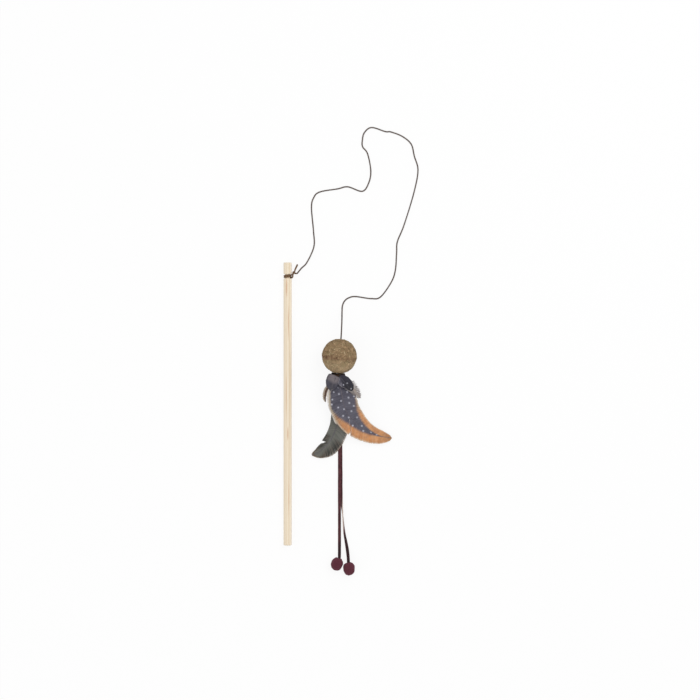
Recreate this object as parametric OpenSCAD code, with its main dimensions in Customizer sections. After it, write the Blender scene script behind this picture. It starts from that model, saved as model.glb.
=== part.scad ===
// Cat teaser wand, laid flat: a wooden stick, a knotted cord, and a lure of a pressed fibre ball,
// feathers and a folded suede lace with two felt balls. Millimetres. Z is up from the table, and
// the stick lies along Y with its tied tip at the far end.

/* [Stick] */
// Length of the wooden stick
stick_length = 350; // [300:5:360]
// Diameter of the wooden stick
stick_d = 10; // [9:0.5:12]
// Chamfer on both ends of the stick
stick_chamfer = 0.8; // [0.3:0.1:1.5]
// From the stick's tip to the middle of the turned neck
neck_from_tip = 17; // [14:0.5:24]

/* [Cord] */
// Diameter of the loose cord
cord_d = 1.9; // [1.6:0.1:2.2]
// Diameter of the cord where it is pulled tight round the stick
tight_d = 1.6; // [1.3:0.1:1.7]
// Diameter of the stopper knot under the ball
knot_d = 4.6; // [4.2:0.1:5.2]

/* [Ball] */
// Diameter of the pressed fibre ball
ball_d = 42.5; // [38:0.5:46]
// How far the ball's bore leans from the stick's direction, in degrees
ball_lean = 5; // [0:0.5:8]
// Radius of the funnel at each end of the bore
mouth_r = 2.8; // [2.6:0.1:3.4]
// Width of the moulding seam round the ball
seam_w = 1.6; // [1:0.1:3]
// Height of the moulding seam over the ball's surface
seam_h = 0.2; // [0.1:0.05:0.4]

/* [Binding] */
// Radius of the glued core that holds the quills
core_r = 5.4; // [5.3:0.1:6]
// Length of the core below the middle of the stopper knot
core_length = 5.4; // [5.2:0.1:7]
// Diameter of the binding thread
thread_d = 0.8; // [0.6:0.05:0.9]
// Turns of binding thread
thread_turns = 3; // [2:1:3]

/* [Feathers] */
// Reach of the large spotted feather
main_reach = 100; // [90:1:102]
// Half of the large spotted feather's width
main_half_w = 18.5; // [15:0.5:20]
// Reach of the long green-grey feather
long_reach = 100; // [90:1:104]
// Half of the long green-grey feather's width
long_half_w = 16.5; // [12:0.5:18]
// Reach of the small feathers that cover the binding
covert_reach = 30; // [26:1:32]
// Half of the small feathers' width
covert_half_w = 9; // [7:0.5:10]
// Thickness of a feather's web
web_t = 0.5; // [0.4:0.05:0.6]
// Radius of a feather's quill where it is bound
quill_r = 0.6; // [0.5:0.05:0.65]

/* [Lace] */
// Width of the suede lace
lace_w = 3.8; // [3:0.1:4.2]
// Thickness of the suede lace
lace_t = 1.4; // [1.2:0.1:1.5]
// Width of the felt balls
felt_d = 15; // [13:0.5:16]
// How much longer than wide the felt balls are
felt_stretch = 2.4; // [1:0.1:3]

/* [Hidden] */

// Fineness of round faces, and of hidden small ones
$fn = 64;
// Named clearances: between things that move, a fit that turns, and things that only lie close
swing_gap = 0.3;
turn_gap = 0.08;
lay_gap = 0.05;
// One overrun for every cut
overrun = 1;

// Places on the table: the stick's axis and tip, and the ball's middle
stick_x = -62;
stick_tip_y = 194;
ball_x = 2.2;
ball_y = 78.2;

stick_r = stick_d / 2;
cord_r = cord_d / 2;
tight_r = tight_d / 2;
knot_r = knot_d / 2;
ball_r = ball_d / 2;
thread_r = thread_d / 2;
tie_y = stick_tip_y - neck_from_tip;

// The ball's bore runs along this direction
bore_way = [sin(ball_lean), cos(ball_lean), 0];
ball_middle = [ball_x, ball_y, ball_r + seam_h];
// Where the free cord meets the ball, and the middle of the stopper knot
ball_mouth = ball_middle + ball_r * bore_way;
knot_middle = ball_middle - (ball_r + swing_gap + knot_r) * bore_way;

function unit(v) = v / norm(v);
function mix(a, b, t) = a + (b - a) * t;
function last(list) = list[len(list) - 1];

// A point on the smooth curve through p, t running from 0 to 1 along the list
function curve_part(a, b, c, d, t) =
  0.5 * (2 * b + (c - a) * t + (2 * a - 5 * b + 4 * c - d) * t * t
    + (3 * b - a - 3 * c + d) * t * t * t);
function curve_at(p, t) =
  let (
    n = len(p) - 1,
    x = min(max(t, 0), 1) * n,
    i = min(floor(x), n - 1),
    before = i > 0 ? p[i - 1] : 2 * p[0] - p[1],
    after = i < n - 1 ? p[i + 2] : 2 * p[n] - p[n - 1]
  ) curve_part(before, p[i], p[i + 1], after, x - i);
function curve(p, steps) = [for (k = [0:steps]) curve_at(p, k / steps)];
function curve_way(p, t, dt = 0.01) = unit(curve_at(p, t + dt) - curve_at(p, t - dt));

// The way that a path runs at its ring i
function way(path, i) = unit(path[min(i + 1, len(path) - 1)] - path[max(i - 1, 0)]);
function turned_off(v, t) = unit(v - t * (v * t));
// Side vectors carried along a path with no twist of their own
function sides_along(path, first) = [
  for (i = 0, v = turned_off(first, way(path, 0)); i < len(path);
    i = i + 1, v = turned_off(v, way(path, min(i, len(path) - 1)))) v
];

// Triangles that close rings of n points each, count rings in a row
function skin(n, count) = concat(
  [for (i = [0:count - 2], j = [0:n - 1]) [i * n + j, i * n + (j + 1) % n, (i + 1) * n + j]],
  [for (i = [0:count - 2], j = [0:n - 1])
    [i * n + (j + 1) % n, (i + 1) * n + (j + 1) % n, (i + 1) * n + j]],
  [for (j = [1:n - 2]) [0, j + 1, j]],
  [for (j = [1:n - 2]) [(count - 1) * n, (count - 1) * n + j, (count - 1) * n + j + 1]]
);

// A tube along a path, with one radius for each ring
module tube(path, radii, sides, first_side) {
  side = sides_along(path, first_side);
  points = [
    for (i = [0:len(path) - 1], j = [0:sides - 1])
      let (across = cross(way(path, i), side[i]), a = 360 * j / sides)
        path[i] + radii[i] * (cos(a) * side[i] + sin(a) * across)
  ];
  polyhedron(points = points, faces = skin(sides, len(path)), convexity = 10);
}

// Rings that round off an end: places before the end, and the share of the radius there
end_angles = [70, 45, 20];
function round_start(path, r) = [
  for (a = end_angles) path[0] - r * sin(a) * way(path, 0)
];
function round_finish(path, r) = [
  for (k = [len(end_angles) - 1:-1:0]) last(path) + r * sin(end_angles[k]) * way(path, len(path) - 1)
];
end_radius_shares = [for (a = end_angles) cos(a)];
finish_radius_shares = [for (k = [len(end_angles) - 1:-1:0]) cos(end_angles[k])];

// Least distance between stretches of a winding that aren't neighbours along it
function least_gap(path, reach, d) = min([
  for (i = [0:len(path) - 1], j = [i + reach:len(path) - 1]) if (j > i + reach) norm(path[i] - path[j])
]) - d;

// Stick

// Depth of the neck: the tight cord lies flush in it
neck_r = stick_r - tight_d - 2 * lay_gap;
// Air between the turns of a winding
wind_gap = 0.45;
tie_pitch = tight_d + wind_gap;
// The tie's turns, seen from the stick's axis: angles from the side of the lure, over the top
tie_start_angle = 35;
tie_end_angle = 685;
tie_turns = (tie_end_angle - tie_start_angle) / 360;
neck_w = tie_pitch * tie_turns + tight_d + 2 * swing_gap;

module stick() {
  profile = [
    [0, 0],
    [stick_r - stick_chamfer, 0],
    [stick_r, stick_chamfer],
    [stick_r, stick_length - neck_from_tip - neck_w / 2],
    [neck_r, stick_length - neck_from_tip - neck_w / 2],
    [neck_r, stick_length - neck_from_tip + neck_w / 2],
    [stick_r, stick_length - neck_from_tip + neck_w / 2],
    [stick_r, stick_length - stick_chamfer],
    [stick_r - stick_chamfer, stick_length],
    [0, stick_length],
  ];
  color("burlywood")
    translate([stick_x, stick_tip_y - stick_length, stick_r])
      rotate([-90, 0, 0])
        rotate_extrude()
          polygon(profile);
}

// Cord

turn_r = neck_r + 2 * lay_gap + tight_r;
tie_rings = 44;
function turn_at(k) =
  let (a = mix(tie_start_angle, tie_end_angle, k / tie_rings))
    [turn_r * cos(a), tie_pitch * tie_turns * (0.5 - k / tie_rings), turn_r * sin(a)];
// The knot's route, chosen by hand: beyond the stick's side, along the stick, over its axis
stub_route = [
  [7, 14, 0.2], [5.6, 11, 0.4], [4.4, 8.4, 0.4], [3.6, 5.8, 0], [2.6, 3.6, -0.6], [1, 2.2, -0.6],
];
hitch_route = [
  [0.9, -1.9, 0.2], [2, -1.4, 1.9], [3.5, 0.6, 2.4], [3.6, 3, 2.1], [1.8, 4.8, 1.6],
  [1, 5.8, -0.4], [2.2, 5.4, -2.6], [4.2, 3.8, -3.1], [5.8, 3.6, -2.2],
];
function beside_stick(route) = [for (p = route) [p.x + stick_r, p.y, p.z]];
tie_path = concat(
  curve(concat(beside_stick(stub_route), [turn_at(0)]), 18),
  [for (k = [1:tie_rings - 1]) turn_at(k)],
  curve(concat([turn_at(tie_rings)], beside_stick(hitch_route)), 26)
);
echo(tie_least_gap = least_gap(tie_path, 6, tight_d));

module cord_tie() {
  color("saddlebrown")
    translate([stick_x, tie_y, stick_r])
      tube(tie_path, [for (p = tie_path) tight_r], 6, [0, 0, 1]);
}

// The free cord swings about this point, just past the knot's end
tie_end = last(tie_path);
tie_end_way = way(tie_path, len(tie_path) - 1);
cord_start = [stick_x, tie_y, stick_r] + tie_end + (cord_r + swing_gap) * tie_end_way;
// Height of the cord's middle where it lies on the table
lie_z = cord_r + lay_gap;
// The free cord's route over the table, chosen by hand
cord_route = [
  [-45, 187, 1.6], [-38, 194.5], [-29.5, 214], [-30, 233], [-32.5, 262], [-30, 274],
  [-22.5, 281.5], [0, 285.5], [12.5, 288], [30.5, 282.5], [38.5, 293], [41, 308], [37, 329],
  [31, 337.5], [30.5, 345], [33, 355], [42, 361.5], [59, 356.5], [66, 356], [80, 350.5],
  [91, 341], [95, 326], [99.5, 308], [94, 279], [82, 240], [74, 220], [73, 206], [71.5, 185],
  [66.5, 170], [53, 151.5], [41, 149.5], [22, 152], [14, 150.5], [9, 147], [6, 141, 1.6],
  [5.4, 133, 5], [5.2, 121, 12.5],
];
// Straight run of the cord before the ball's mouth
mouth_run = 5;
cord_points = concat(
  [cord_start],
  [for (p = cord_route) [p.x, p.y, p.z == undef ? lie_z : p.z]],
  [ball_mouth + mouth_run * bore_way, ball_mouth]
);

module cord() {
  core = curve(cord_points, 73);
  path = concat(round_start(core, cord_r), core, round_finish(core, cord_r));
  shares = concat(end_radius_shares, [for (p = core) 1], finish_radius_shares);
  color("rosybrown")
    tube(path, cord_r * shares, 8, [0, 0, 1]);
}

// What stands on the ball's bore, with the bore's direction as Z and the ball's middle at zero
module along_bore() {
  translate(ball_middle)
    rotate([0, 0, -ball_lean])
      rotate([-90, 0, 0])
        children();
}

module cord_end() {
  top = ball_r - cord_r - swing_gap;
  color("saddlebrown")
    along_bore()
      translate([0, 0, -ball_r - swing_gap - knot_r])
        cylinder(r = cord_r, h = top + ball_r + swing_gap + knot_r);
}

module stopper_knot() {
  color("saddlebrown")
    translate(knot_middle)
      sphere(r = knot_r);
}

// Ball

bore_r = cord_r + turn_gap;
// The funnels are as deep as the cord's round end needs
mouth_depth = cord_r + swing_gap + lay_gap;

module pressed_ball() {
  color("tan")
    along_bore()
      difference() {
        union() {
          sphere(r = ball_r);
          rotate_extrude()
            polygon([
              [ball_r - seam_w, -seam_w / 2],
              [ball_r + seam_h - seam_w / 2, -seam_w / 2],
              [ball_r + seam_h, 0],
              [ball_r + seam_h - seam_w / 2, seam_w / 2],
              [ball_r - seam_w, seam_w / 2],
            ]);
        }
        translate([0, 0, -ball_r - overrun])
          cylinder(r = bore_r, h = ball_d + 2 * overrun);
        for (end = [0, 1])
          mirror([0, 0, end])
            translate([0, 0, ball_r - mouth_depth])
              cylinder(r1 = cord_r + swing_gap, r2 = mouth_r, h = mouth_depth);
      }
}

// Binding

// The core's collar and shoulder reach this far over the middle of the knot
collar_h = 1.2;
collar_r = knot_r + collar_h;
shoulder_h = 0.5;
socket_r = knot_r + turn_gap;
thread_pitch = thread_d + wind_gap;
// Lace legs in the core: the air between them, their depth, and the fold's back
leg_gap = 0.45;
lace_spacing = lace_t + leg_gap;
upper_leg_z = -2.2;
lower_leg_z = upper_leg_z - lace_spacing;
fold_back = 2.2;
// The laces swing about this point, below the core
tail_reach = lace_w / 2 + swing_gap + lay_gap;
tail_from_knot = core_length + tail_reach;

// What hangs under the ball, with the knot's middle at zero, Z away from the ball and Y up
module below_knot() {
  translate(knot_middle)
    rotate([90, 0, 0])
      children();
}

module quill_core() {
  slot_w = lace_w + 2 * lay_gap;
  slot_top = upper_leg_z + lace_t / 2 + lay_gap;
  slot_bottom = lower_leg_z - lace_t / 2 - lay_gap;
  color("sienna")
    below_knot()
      difference() {
        rotate_extrude()
          polygon([
            [0, -collar_h],
            [collar_r, -collar_h],
            [core_r, -shoulder_h],
            [core_r, core_length],
            [0, core_length],
          ]);
        sphere(r = socket_r);
        translate([-slot_w / 2, slot_bottom, fold_back - lay_gap])
          cube([slot_w, slot_top - slot_bottom, core_length]);
      }
}

thread_rings = 24;
thread_path = [
  for (k = [0:thread_turns * thread_rings])
    let (a = 360 * k / thread_rings, r = core_r + lay_gap + thread_r)
      [r * cos(a), r * sin(a), thread_r + lay_gap - shoulder_h + thread_pitch * k / thread_rings]
];
echo(thread_least_gap = least_gap(thread_path, thread_rings / 2, thread_d));

module thread_binding() {
  color("maroon")
    below_knot()
      tube(thread_path, [for (p = thread_path) thread_r], 6, [0, 0, 1]);
}

// Feathers

// A feather's web leans towards its tip by this angle, from its base to its tip
base_lean = 10;
tip_lean = 35;
// How thick the quill is at the tip, as a share of its bound end
tip_quill_share = 0.4;
// The web's height share across each half, and its places there
web_shares = [0, 0.35, 0.7, 1];

// A route from shares: sideways and down in reaches, and height as a share of the knot's height
function feather_route(root, shares, reach) = concat(
  [root],
  [for (p = shares) [p.x * reach, -p.y * reach, (p.z - 1) * knot_middle.z]]
);

// One feather as a closed skin. Each row holds the share along the quill and the width shares of
// the left and right webs there. The web curves down by camber at its full half width.
module feather(route, rows, half_w, camber, lean_at_base = base_lean) {
  points = [
    for (row = rows)
      let (
        s = row[0],
        p = curve_at(route, s),
        t = curve_way(route, s),
        right = unit(cross([0, 0, 1], t)),
        up = cross(t, right),
        lean = mix(lean_at_base, tip_lean, s),
        rib = quill_r * mix(1, tip_quill_share, s),
        left_w = max(row[1] * half_w - rib, web_t / 4),
        right_w = max(row[2] * half_w - rib, web_t / 4),
        places = concat(
          [for (k = [len(web_shares) - 1:-1:0]) -rib - web_shares[k] * left_w],
          [0],
          [for (share = web_shares) rib + share * right_w]
        ),
        top = [
          for (d = places)
            p + d * cos(lean) * right + abs(d) * sin(lean) * t
              + ((d == 0 ? rib : web_t / 2) - camber * pow(d / half_w, 2)) * up
        ],
        under = [
          for (k = [len(places) - 1:-1:0])
            let (d = places[k])
              p + d * cos(lean) * right + abs(d) * sin(lean) * t
                - ((d == 0 ? rib : web_t / 2) + camber * pow(d / half_w, 2)) * up
        ]
      ) each concat(top, under)
  ];
  ring = 2 * (2 * len(web_shares) + 1);
  translate(knot_middle)
    polyhedron(points = points, faces = skin(ring, len(rows)), convexity = 10);
}

main_camber = 4.2;
module feather_spotted_main() {
  route = feather_route(
    [0.2, -3.2, 1.6],
    [
      [0.046, 0.207, 1.1], [0.089, 0.405, 1.03], [0.182, 0.548, 0.85], [0.319, 0.665, 0.61],
      [0.486, 0.744, 0.38], [0.671, 0.778, 0.22],
    ],
    main_reach
  );
  rows = [
    [0, 0, 0], [0.03, 0, 0], [0.055, 0.34, 0.34], [0.1, 0.66, 0.66], [0.167, 0.9, 0.92],
    [0.25, 0.98, 1], [0.333, 1, 1], [0.42, 1.02, 0.96], [0.5, 1.03, 0.88], [0.555, 0.98, 0.8],
    [0.57, 0.6, 0.79], [0.585, 0.93, 0.78], [0.667, 0.84, 0.66], [0.76, 0.72, 0.56],
    [0.833, 0.6, 0.5], [0.91, 0.42, 0.34], [0.96, 0.25, 0.2], [1, 0, 0],
  ];
  color("slategray")
    feather(route, rows, main_half_w, main_camber);
}

long_camber = 1.8;
module feather_green_long() {
  route = feather_route(
    [-0.2, -3.2, 0.1],
    [
      [0, 0.09, 0.99], [0.012, 0.2, 0.73], [0.015, 0.368, 0.53], [-0.01, 0.616, 0.37],
      [-0.097, 0.814, 0.29], [-0.208, 0.93, 0.24], [-0.318, 0.995, 0.19],
    ],
    long_reach
  );
  rows = [
    [0, 0, 0], [0.13, 0, 0], [0.2, 0.15, 0.15], [0.286, 0.4, 0.5], [0.36, 0.52, 0.78],
    [0.43, 0.58, 0.95], [0.5, 0.6, 1], [0.571, 0.6, 1.03], [0.65, 0.6, 1.04], [0.72, 0.62, 1],
    [0.735, 0.3, 0.98], [0.75, 0.5, 0.95], [0.8, 0.48, 0.8], [0.857, 0.42, 0.62],
    [0.93, 0.3, 0.4], [0.97, 0.18, 0.24], [1, 0, 0],
  ];
  color("dimgray")
    feather(route, rows, long_half_w, long_camber);
}

// Width shares of a small round-ended feather, left and right alike
covert_rows = [
  [0, 0, 0], [0.17, 0, 0], [0.27, 0.55, 0.55], [0.37, 0.9, 0.9], [0.5, 1, 1], [0.68, 0.95, 0.95],
  [0.82, 0.75, 0.75], [0.93, 0.45, 0.45], [1, 0.05, 0.05],
];
function scaled_rows(left, right) = [for (r = covert_rows) [r[0], r[1] * left, r[2] * right]];
covert_camber = 2;
// The two top feathers spread back over the binding, as domes
spread_lean = -75;
dome_camber = 1.6;

module feather_grey_covert() {
  route = feather_route(
    [-1.6, -3.2, 2.6],
    [[-0.14, 0.24, 1.35], [-0.24, 0.44, 1.33], [-0.29, 0.7, 1.12]],
    covert_reach
  );
  rows = [
    [0, 0, 0], [0.22, 0, 0], [0.28, 0.75, 0.4], [0.36, 1.15, 0.55], [0.5, 1, 0.65],
    [0.68, 0.85, 0.65], [0.82, 0.7, 0.55], [0.93, 0.42, 0.35], [1, 0.05, 0.05],
  ];
  color("lightslategray")
    feather(route, rows, covert_half_w, dome_camber, spread_lean);
}

module feather_spotted_covert() {
  route = feather_route(
    [1.9, -3.2, 2.8],
    [[0.22, 0.25, 1.36], [0.4, 0.43, 1.33], [0.6, 0.66, 1.16]],
    covert_reach
  );
  rows = [
    [0, 0, 0], [0.22, 0, 0], [0.28, 0.4, 0.75], [0.36, 0.55, 1], [0.5, 0.75, 0.9],
    [0.68, 0.8, 0.85], [0.82, 0.65, 0.7], [0.93, 0.4, 0.42], [1, 0.05, 0.05],
  ];
  color("darkslategray")
    feather(route, rows, covert_half_w, dome_camber, spread_lean);
}

module feather_brown_covert() {
  route = feather_route(
    [-3.3, -3.2, 0.9],
    [[-0.27, 0.33, 0.98], [-0.43, 0.6, 0.89], [-0.5, 0.87, 0.8], [-0.48, 1.1, 0.72]],
    covert_reach
  );
  color("saddlebrown")
    feather(route, scaled_rows(0.5, 0.5), covert_half_w, covert_camber);
}

module feather_buff_covert() {
  route = feather_route(
    [-1.9, -3.2, 0.3],
    [
      [-0.1, 0.33, 0.97], [-0.2, 0.67, 0.82], [-0.23, 1.27, 0.64], [-0.13, 1.73, 0.54],
      [-0.05, 2, 0.48],
    ],
    covert_reach
  );
  color("wheat")
    feather(route, scaled_rows(0.75, 0.6), covert_half_w, covert_camber);
}

module down_tuft() {
  route = feather_route(
    [2.4, -3.2, 0.9],
    [[0.33, 0.29, 1.14], [0.6, 0.5, 1.1], [0.92, 0.92, 0.92]],
    covert_reach
  );
  color("gainsboro")
    feather(route, scaled_rows(0.6, 0.7), covert_half_w, covert_camber / 2);
}

// Lace

module lace_fold() {
  bend_r = (lace_spacing + lace_t) / 2;
  inner_r = (lace_spacing - lace_t) / 2;
  middle_z = (upper_leg_z + lower_leg_z) / 2;
  color("maroon")
    below_knot()
      difference() {
        translate([-lace_w / 2, middle_z, fold_back + bend_r])
          rotate([0, 90, 0])
            linear_extrude(lace_w)
              difference() {
                union() {
                  circle(r = bend_r);
                  translate([-tail_from_knot, -bend_r])
                    square([tail_from_knot, 2 * bend_r]);
                }
                circle(r = inner_r);
                translate([-tail_from_knot - overrun, -inner_r])
                  square([tail_from_knot + overrun, 2 * inner_r]);
              }
        translate([0, lower_leg_z - lace_t, tail_from_knot])
          rotate([-90, 0, 0])
            cylinder(r = lace_w / 2 + swing_gap, h = lace_spacing + 2 * lace_t);
        translate([-lace_w, lower_leg_z - lace_t, tail_from_knot - lay_gap])
          cube([2 * lace_w, lace_spacing + 2 * lace_t, tail_from_knot]);
      }
}

// A flat strap along a route whose points hold a place and the strap's turn about its own way
corner_share = 0.25;
function strap_section(w, t) =
  let (c = corner_share * t)
    [
      [w, c - t], [w, t - c], [w - c, t], [c - w, t], [-w, t - c], [-w, c - t], [c - w, -t],
      [w - c, -t],
    ];
module strap(path, turns, widths) {
  points = [
    for (i = [0:len(path) - 1])
      let (
        t = way(path, i),
        level = unit(cross([0, 0, 1], t)),
        up = cross(t, level),
        across = cos(turns[i]) * level + sin(turns[i]) * up,
        face = cross(t, across)
      )
        each [for (q = strap_section(widths[i], lace_t / 2)) path[i] + q.x * across + q.y * face]
  ];
  polyhedron(points = points, faces = skin(8, len(path)), convexity = 10);
}

// Height of a strap's middle where it lies on the table, turned by an angle
function strap_lie(turn) = lace_w / 2 * abs(sin(turn)) + lace_t / 2 * abs(cos(turn)) + 2 * lay_gap;
function lying(route) = [for (p = route) [p[0], p[1], p[2] == undef ? strap_lie(p[3]) : p[2]]];

felt_r = felt_d / 2;
felt_half_length = felt_r + felt_stretch / 2;
// The felt balls' middles, and how far their sockets turn from the stick's direction
felt_left = [-0.9, -178.8, felt_r];
felt_left_turn = 20;
felt_right = [14.1, -184.7, felt_r];
felt_right_turn = -5;
socket_depth = 5;
function felt_way(turn) = [sin(turn), cos(turn), 0];
// A lace's last stretch: through the socket's mouth and down to its floor
function into_felt(middle, turn) = [
  for (h = [felt_half_length, felt_half_length - socket_depth / 2,
    felt_half_length - socket_depth + lay_gap])
    middle + h * felt_way(turn)
];

module lace(start_z, run, route, middle, turn, end_turn) {
  start = knot_middle + [0, -tail_from_knot, start_z];
  // It leaves its seat level, so that it swings level
  points = concat([start, start - [0, run, 0]], lying(route), into_felt(middle, turn));
  turns = concat([0, 0], [for (p = route) p[3]], [for (k = [1:3]) end_turn]);
  steps = 40;
  core = curve(points, steps);
  path = concat(round_start(core, lace_w / 2), core);
  widths = concat(lace_w / 2 * end_radius_shares, [for (p = core) lace_w / 2]);
  turn_list = [for (t = turns) [t, 0, 0]];
  twist = concat([0, 0, 0], [for (k = [0:steps]) curve_at(turn_list, k / steps).x]);
  strap(path, twist, widths);
}

// Routes of the lace ends over the table, chosen by hand, with the strap's turn
lace_left_route = [
  [0.3, 41.5, 17, 0], [0.6, 37, 13.4, 0], [0.9, 32, 9.4, 0], [1.2, 27, 6.4, 0],
  [1.6, 20, 4, 0], [2, 10, 2.8, 0], [2.2, -5, 2.5, 0], [2.2, -30, 2.5, 0], [2.2, -60, 2.5, 0],
  [2.2, -85, 3.3, 0], [2.2, -103, 3.6, 0], [2.2, -118, 2.8, 0], [2.2, -133, 1, 0],
  [2.2, -147, 0.9, 0], [2.2, -157, 2.2, 0], [2.2, -164, 4.9, 0],
];
lace_right_route = [
  [0.4, 41.5, 13.9, 0], [0.8, 37, 9.8, 0], [1.2, 32, 6.9, 0], [1.6, 27, 3.9, 0],
  [2.1, 20, 2, 0], [2.6, 10, 1, 0], [3.2, -5, undef, 0], [3.8, -30, undef, 0],
  [4.1, -60, undef, 0], [4.2, -85, undef, 5], [4.6, -100, undef, 40], [5.8, -113, undef, 80],
  [6.5, -122, undef, 100], [7.2, -131, undef, 120], [8.5, -142, undef, 150],
  [10.3, -152, undef, 175], [11.7, -160, 2.1, 180], [12.8, -168.5, 5.2, 180],
];

module lace_left() {
  color("brown")
    lace(upper_leg_z, lace_w / 2, lace_left_route, felt_left, felt_left_turn, 0);
}

module lace_right() {
  color("brown")
    lace(lower_leg_z, lace_w / 4, lace_right_route, felt_right, felt_right_turn, 180);
}

// Felt balls

felt_points = 16;
module felt_ball(middle, turn) {
  arc = [for (k = [0:felt_points]) 90 - 90 * k / felt_points];
  half = [for (a = arc) [felt_r * cos(a), felt_r * sin(a) + felt_stretch / 2]];
  profile = concat(half, [for (k = [felt_points:-1:0]) [half[k].x, -half[k].y]]);
  translate(middle)
    rotate([0, 0, -turn])
      rotate([-90, 0, 0])
        difference() {
          rotate_extrude()
            polygon(profile);
          translate([
            -lace_w / 2 - lay_gap,
            -lace_t / 2 - lay_gap,
            felt_half_length - socket_depth,
          ])
            cube([lace_w + 2 * lay_gap, lace_t + 2 * lay_gap, socket_depth + overrun]);
        }
}

module felt_ball_left() {
  color("firebrick")
    felt_ball(felt_left, felt_left_turn);
}

module felt_ball_right() {
  color("firebrick")
    felt_ball(felt_right, felt_right_turn);
}

stick();
cord_tie();
cord();
cord_end();
stopper_knot();
pressed_ball();
quill_core();
thread_binding();
feather_spotted_main();
feather_spotted_covert();
feather_grey_covert();
feather_brown_covert();
feather_buff_covert();
feather_green_long();
down_tuft();
lace_fold();
lace_left();
lace_right();
felt_ball_left();
felt_ball_right();
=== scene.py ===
"""Dresses a cat teaser wand: a pine stick, a knotted waxed cord, and a lure of a pressed fibre ball,
feathers and a folded suede lace with two felt balls. Sizes are in millimetres, and meshes in metres.
"""
import logging
import math
from dataclasses import dataclass, replace
from enum import Enum
from functools import partial
from typing import Any, Callable, Sequence

import bmesh
import bpy
import numpy as np
from bpy.types import ColorRamp, Material, Mesh, NodeSocket, NodeTree, Object
from mathutils import Matrix, Vector, noise


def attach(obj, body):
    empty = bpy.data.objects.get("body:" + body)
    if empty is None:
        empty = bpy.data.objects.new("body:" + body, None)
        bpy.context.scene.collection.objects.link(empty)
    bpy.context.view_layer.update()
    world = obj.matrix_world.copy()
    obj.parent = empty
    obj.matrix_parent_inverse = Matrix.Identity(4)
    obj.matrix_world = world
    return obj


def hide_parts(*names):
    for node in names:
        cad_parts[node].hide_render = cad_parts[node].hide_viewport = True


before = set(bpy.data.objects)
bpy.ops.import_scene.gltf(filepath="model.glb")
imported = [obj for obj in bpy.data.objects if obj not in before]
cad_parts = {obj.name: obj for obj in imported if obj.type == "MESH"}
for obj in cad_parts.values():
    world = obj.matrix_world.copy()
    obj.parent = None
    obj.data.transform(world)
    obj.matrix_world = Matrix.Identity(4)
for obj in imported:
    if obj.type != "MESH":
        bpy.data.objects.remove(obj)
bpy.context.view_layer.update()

log = logging.getLogger("wand")

MM = 0.001
UP = np.array([0.0, 0.0, 1.0])
Array = np.ndarray
Point = Sequence[float]
Put = Callable[..., NodeSocket]

# The places that the pieces share, as on the frame
STICK_R, BALL_R, KNOT_R, SWING_GAP, LAY_GAP, CORD_D = 5.0, 21.25, 2.3, 0.3, 0.05, 1.9
TIE_MIDDLE = np.array([-62.0, 177.0, STICK_R])
BALL_MIDDLE = np.array([2.2, 78.2, 21.45])
BORE_TURN = math.radians(5)
BORE_WAY = np.array([math.sin(BORE_TURN), math.cos(BORE_TURN), 0.0])
BALL_MOUTH = BALL_MIDDLE + BALL_R * BORE_WAY
KNOT_MIDDLE = BALL_MIDDLE - (BALL_R + SWING_GAP + KNOT_R) * BORE_WAY
CORE_FOOT = -5.4
# A rounded end: how far round it each ring lies, in degrees, and its share of the full girth
END_TURNS, END_GIRTHS = (70, 45, 20), (0.34, 0.7, 0.94)


# ---- paths and meshes


def unit(v: Array) -> Array:
    """Vectors of length 1 along v."""
    return v / np.maximum(np.linalg.norm(v, axis=-1, keepdims=True), 1e-12)


def curve(points: Sequence[Point], steps: int) -> Array:
    """The smooth curve through points.

    Args:
        points: Places that the curve passes through.
        steps: How many even steps of its parameter to take.

    Returns:
        steps + 1 places on the curve.
    """
    p = np.asarray(points, float)
    n = len(p) - 1
    p = np.vstack([2 * p[0] - p[1], p, 2 * p[-1] - p[-2]])
    x = np.linspace(0, n, steps + 1)
    i = np.minimum(x.astype(int), n - 1)
    t = (x - i)[:, None]
    a, b, c, d = p[i], p[i + 1], p[i + 2], p[i + 3]
    return 0.5 * (2 * b + (c - a) * t + (2 * a - 5 * b + 4 * c - d) * t**2 + (3 * b - a - 3 * c + d) * t**3)


def ways(path: Array) -> Array:
    """The way that a path runs at each of its points."""
    return unit(np.vstack([path[1] - path[0], path[2:] - path[:-2], path[-1] - path[-2]]))


def travel(path: Array) -> Array:
    """How far along its path each point lies."""
    return np.concatenate([[0], np.cumsum(np.linalg.norm(np.diff(path, axis=0), axis=1))])


def carried_sides(path: Array, first: Array = UP) -> Array:
    """Side vectors carried along a path with no twist of their own, from a first one."""
    sides = [first]
    for t in ways(path):
        sides.append(unit(sides[-1] - t * (sides[-1] @ t)))
    return np.array(sides[1:])


def turned(sides: Array, path: Array, angles: Array) -> Array:
    """Side vectors turned about their path's own way, each by its angle in radians."""
    return np.cos(angles)[:, None] * sides + np.sin(angles)[:, None] * np.cross(ways(path), sides)


def line_mesh(name: str, path: Array, **values: Array) -> Mesh:
    """A line of edges with attributes, for a tree to work on.

    Args:
        name: The mesh's name.
        path: Its points in millimetres.
        **values: One number or vector for each point, kept as an attribute of that name.

    Returns:
        The mesh, in metres.
    """
    mesh = bpy.data.meshes.new(name)
    mesh.from_pydata((path * MM).tolist(), [(i, i + 1) for i in range(len(path) - 1)], [])
    for key, value in values.items():
        kind, field = ("FLOAT_VECTOR", "vector") if np.ndim(value) == 2 else ("FLOAT", "value")
        mesh.attributes.new(key, kind, "POINT").data.foreach_set(field, np.asarray(value, np.float32).ravel())
    return mesh


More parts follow.
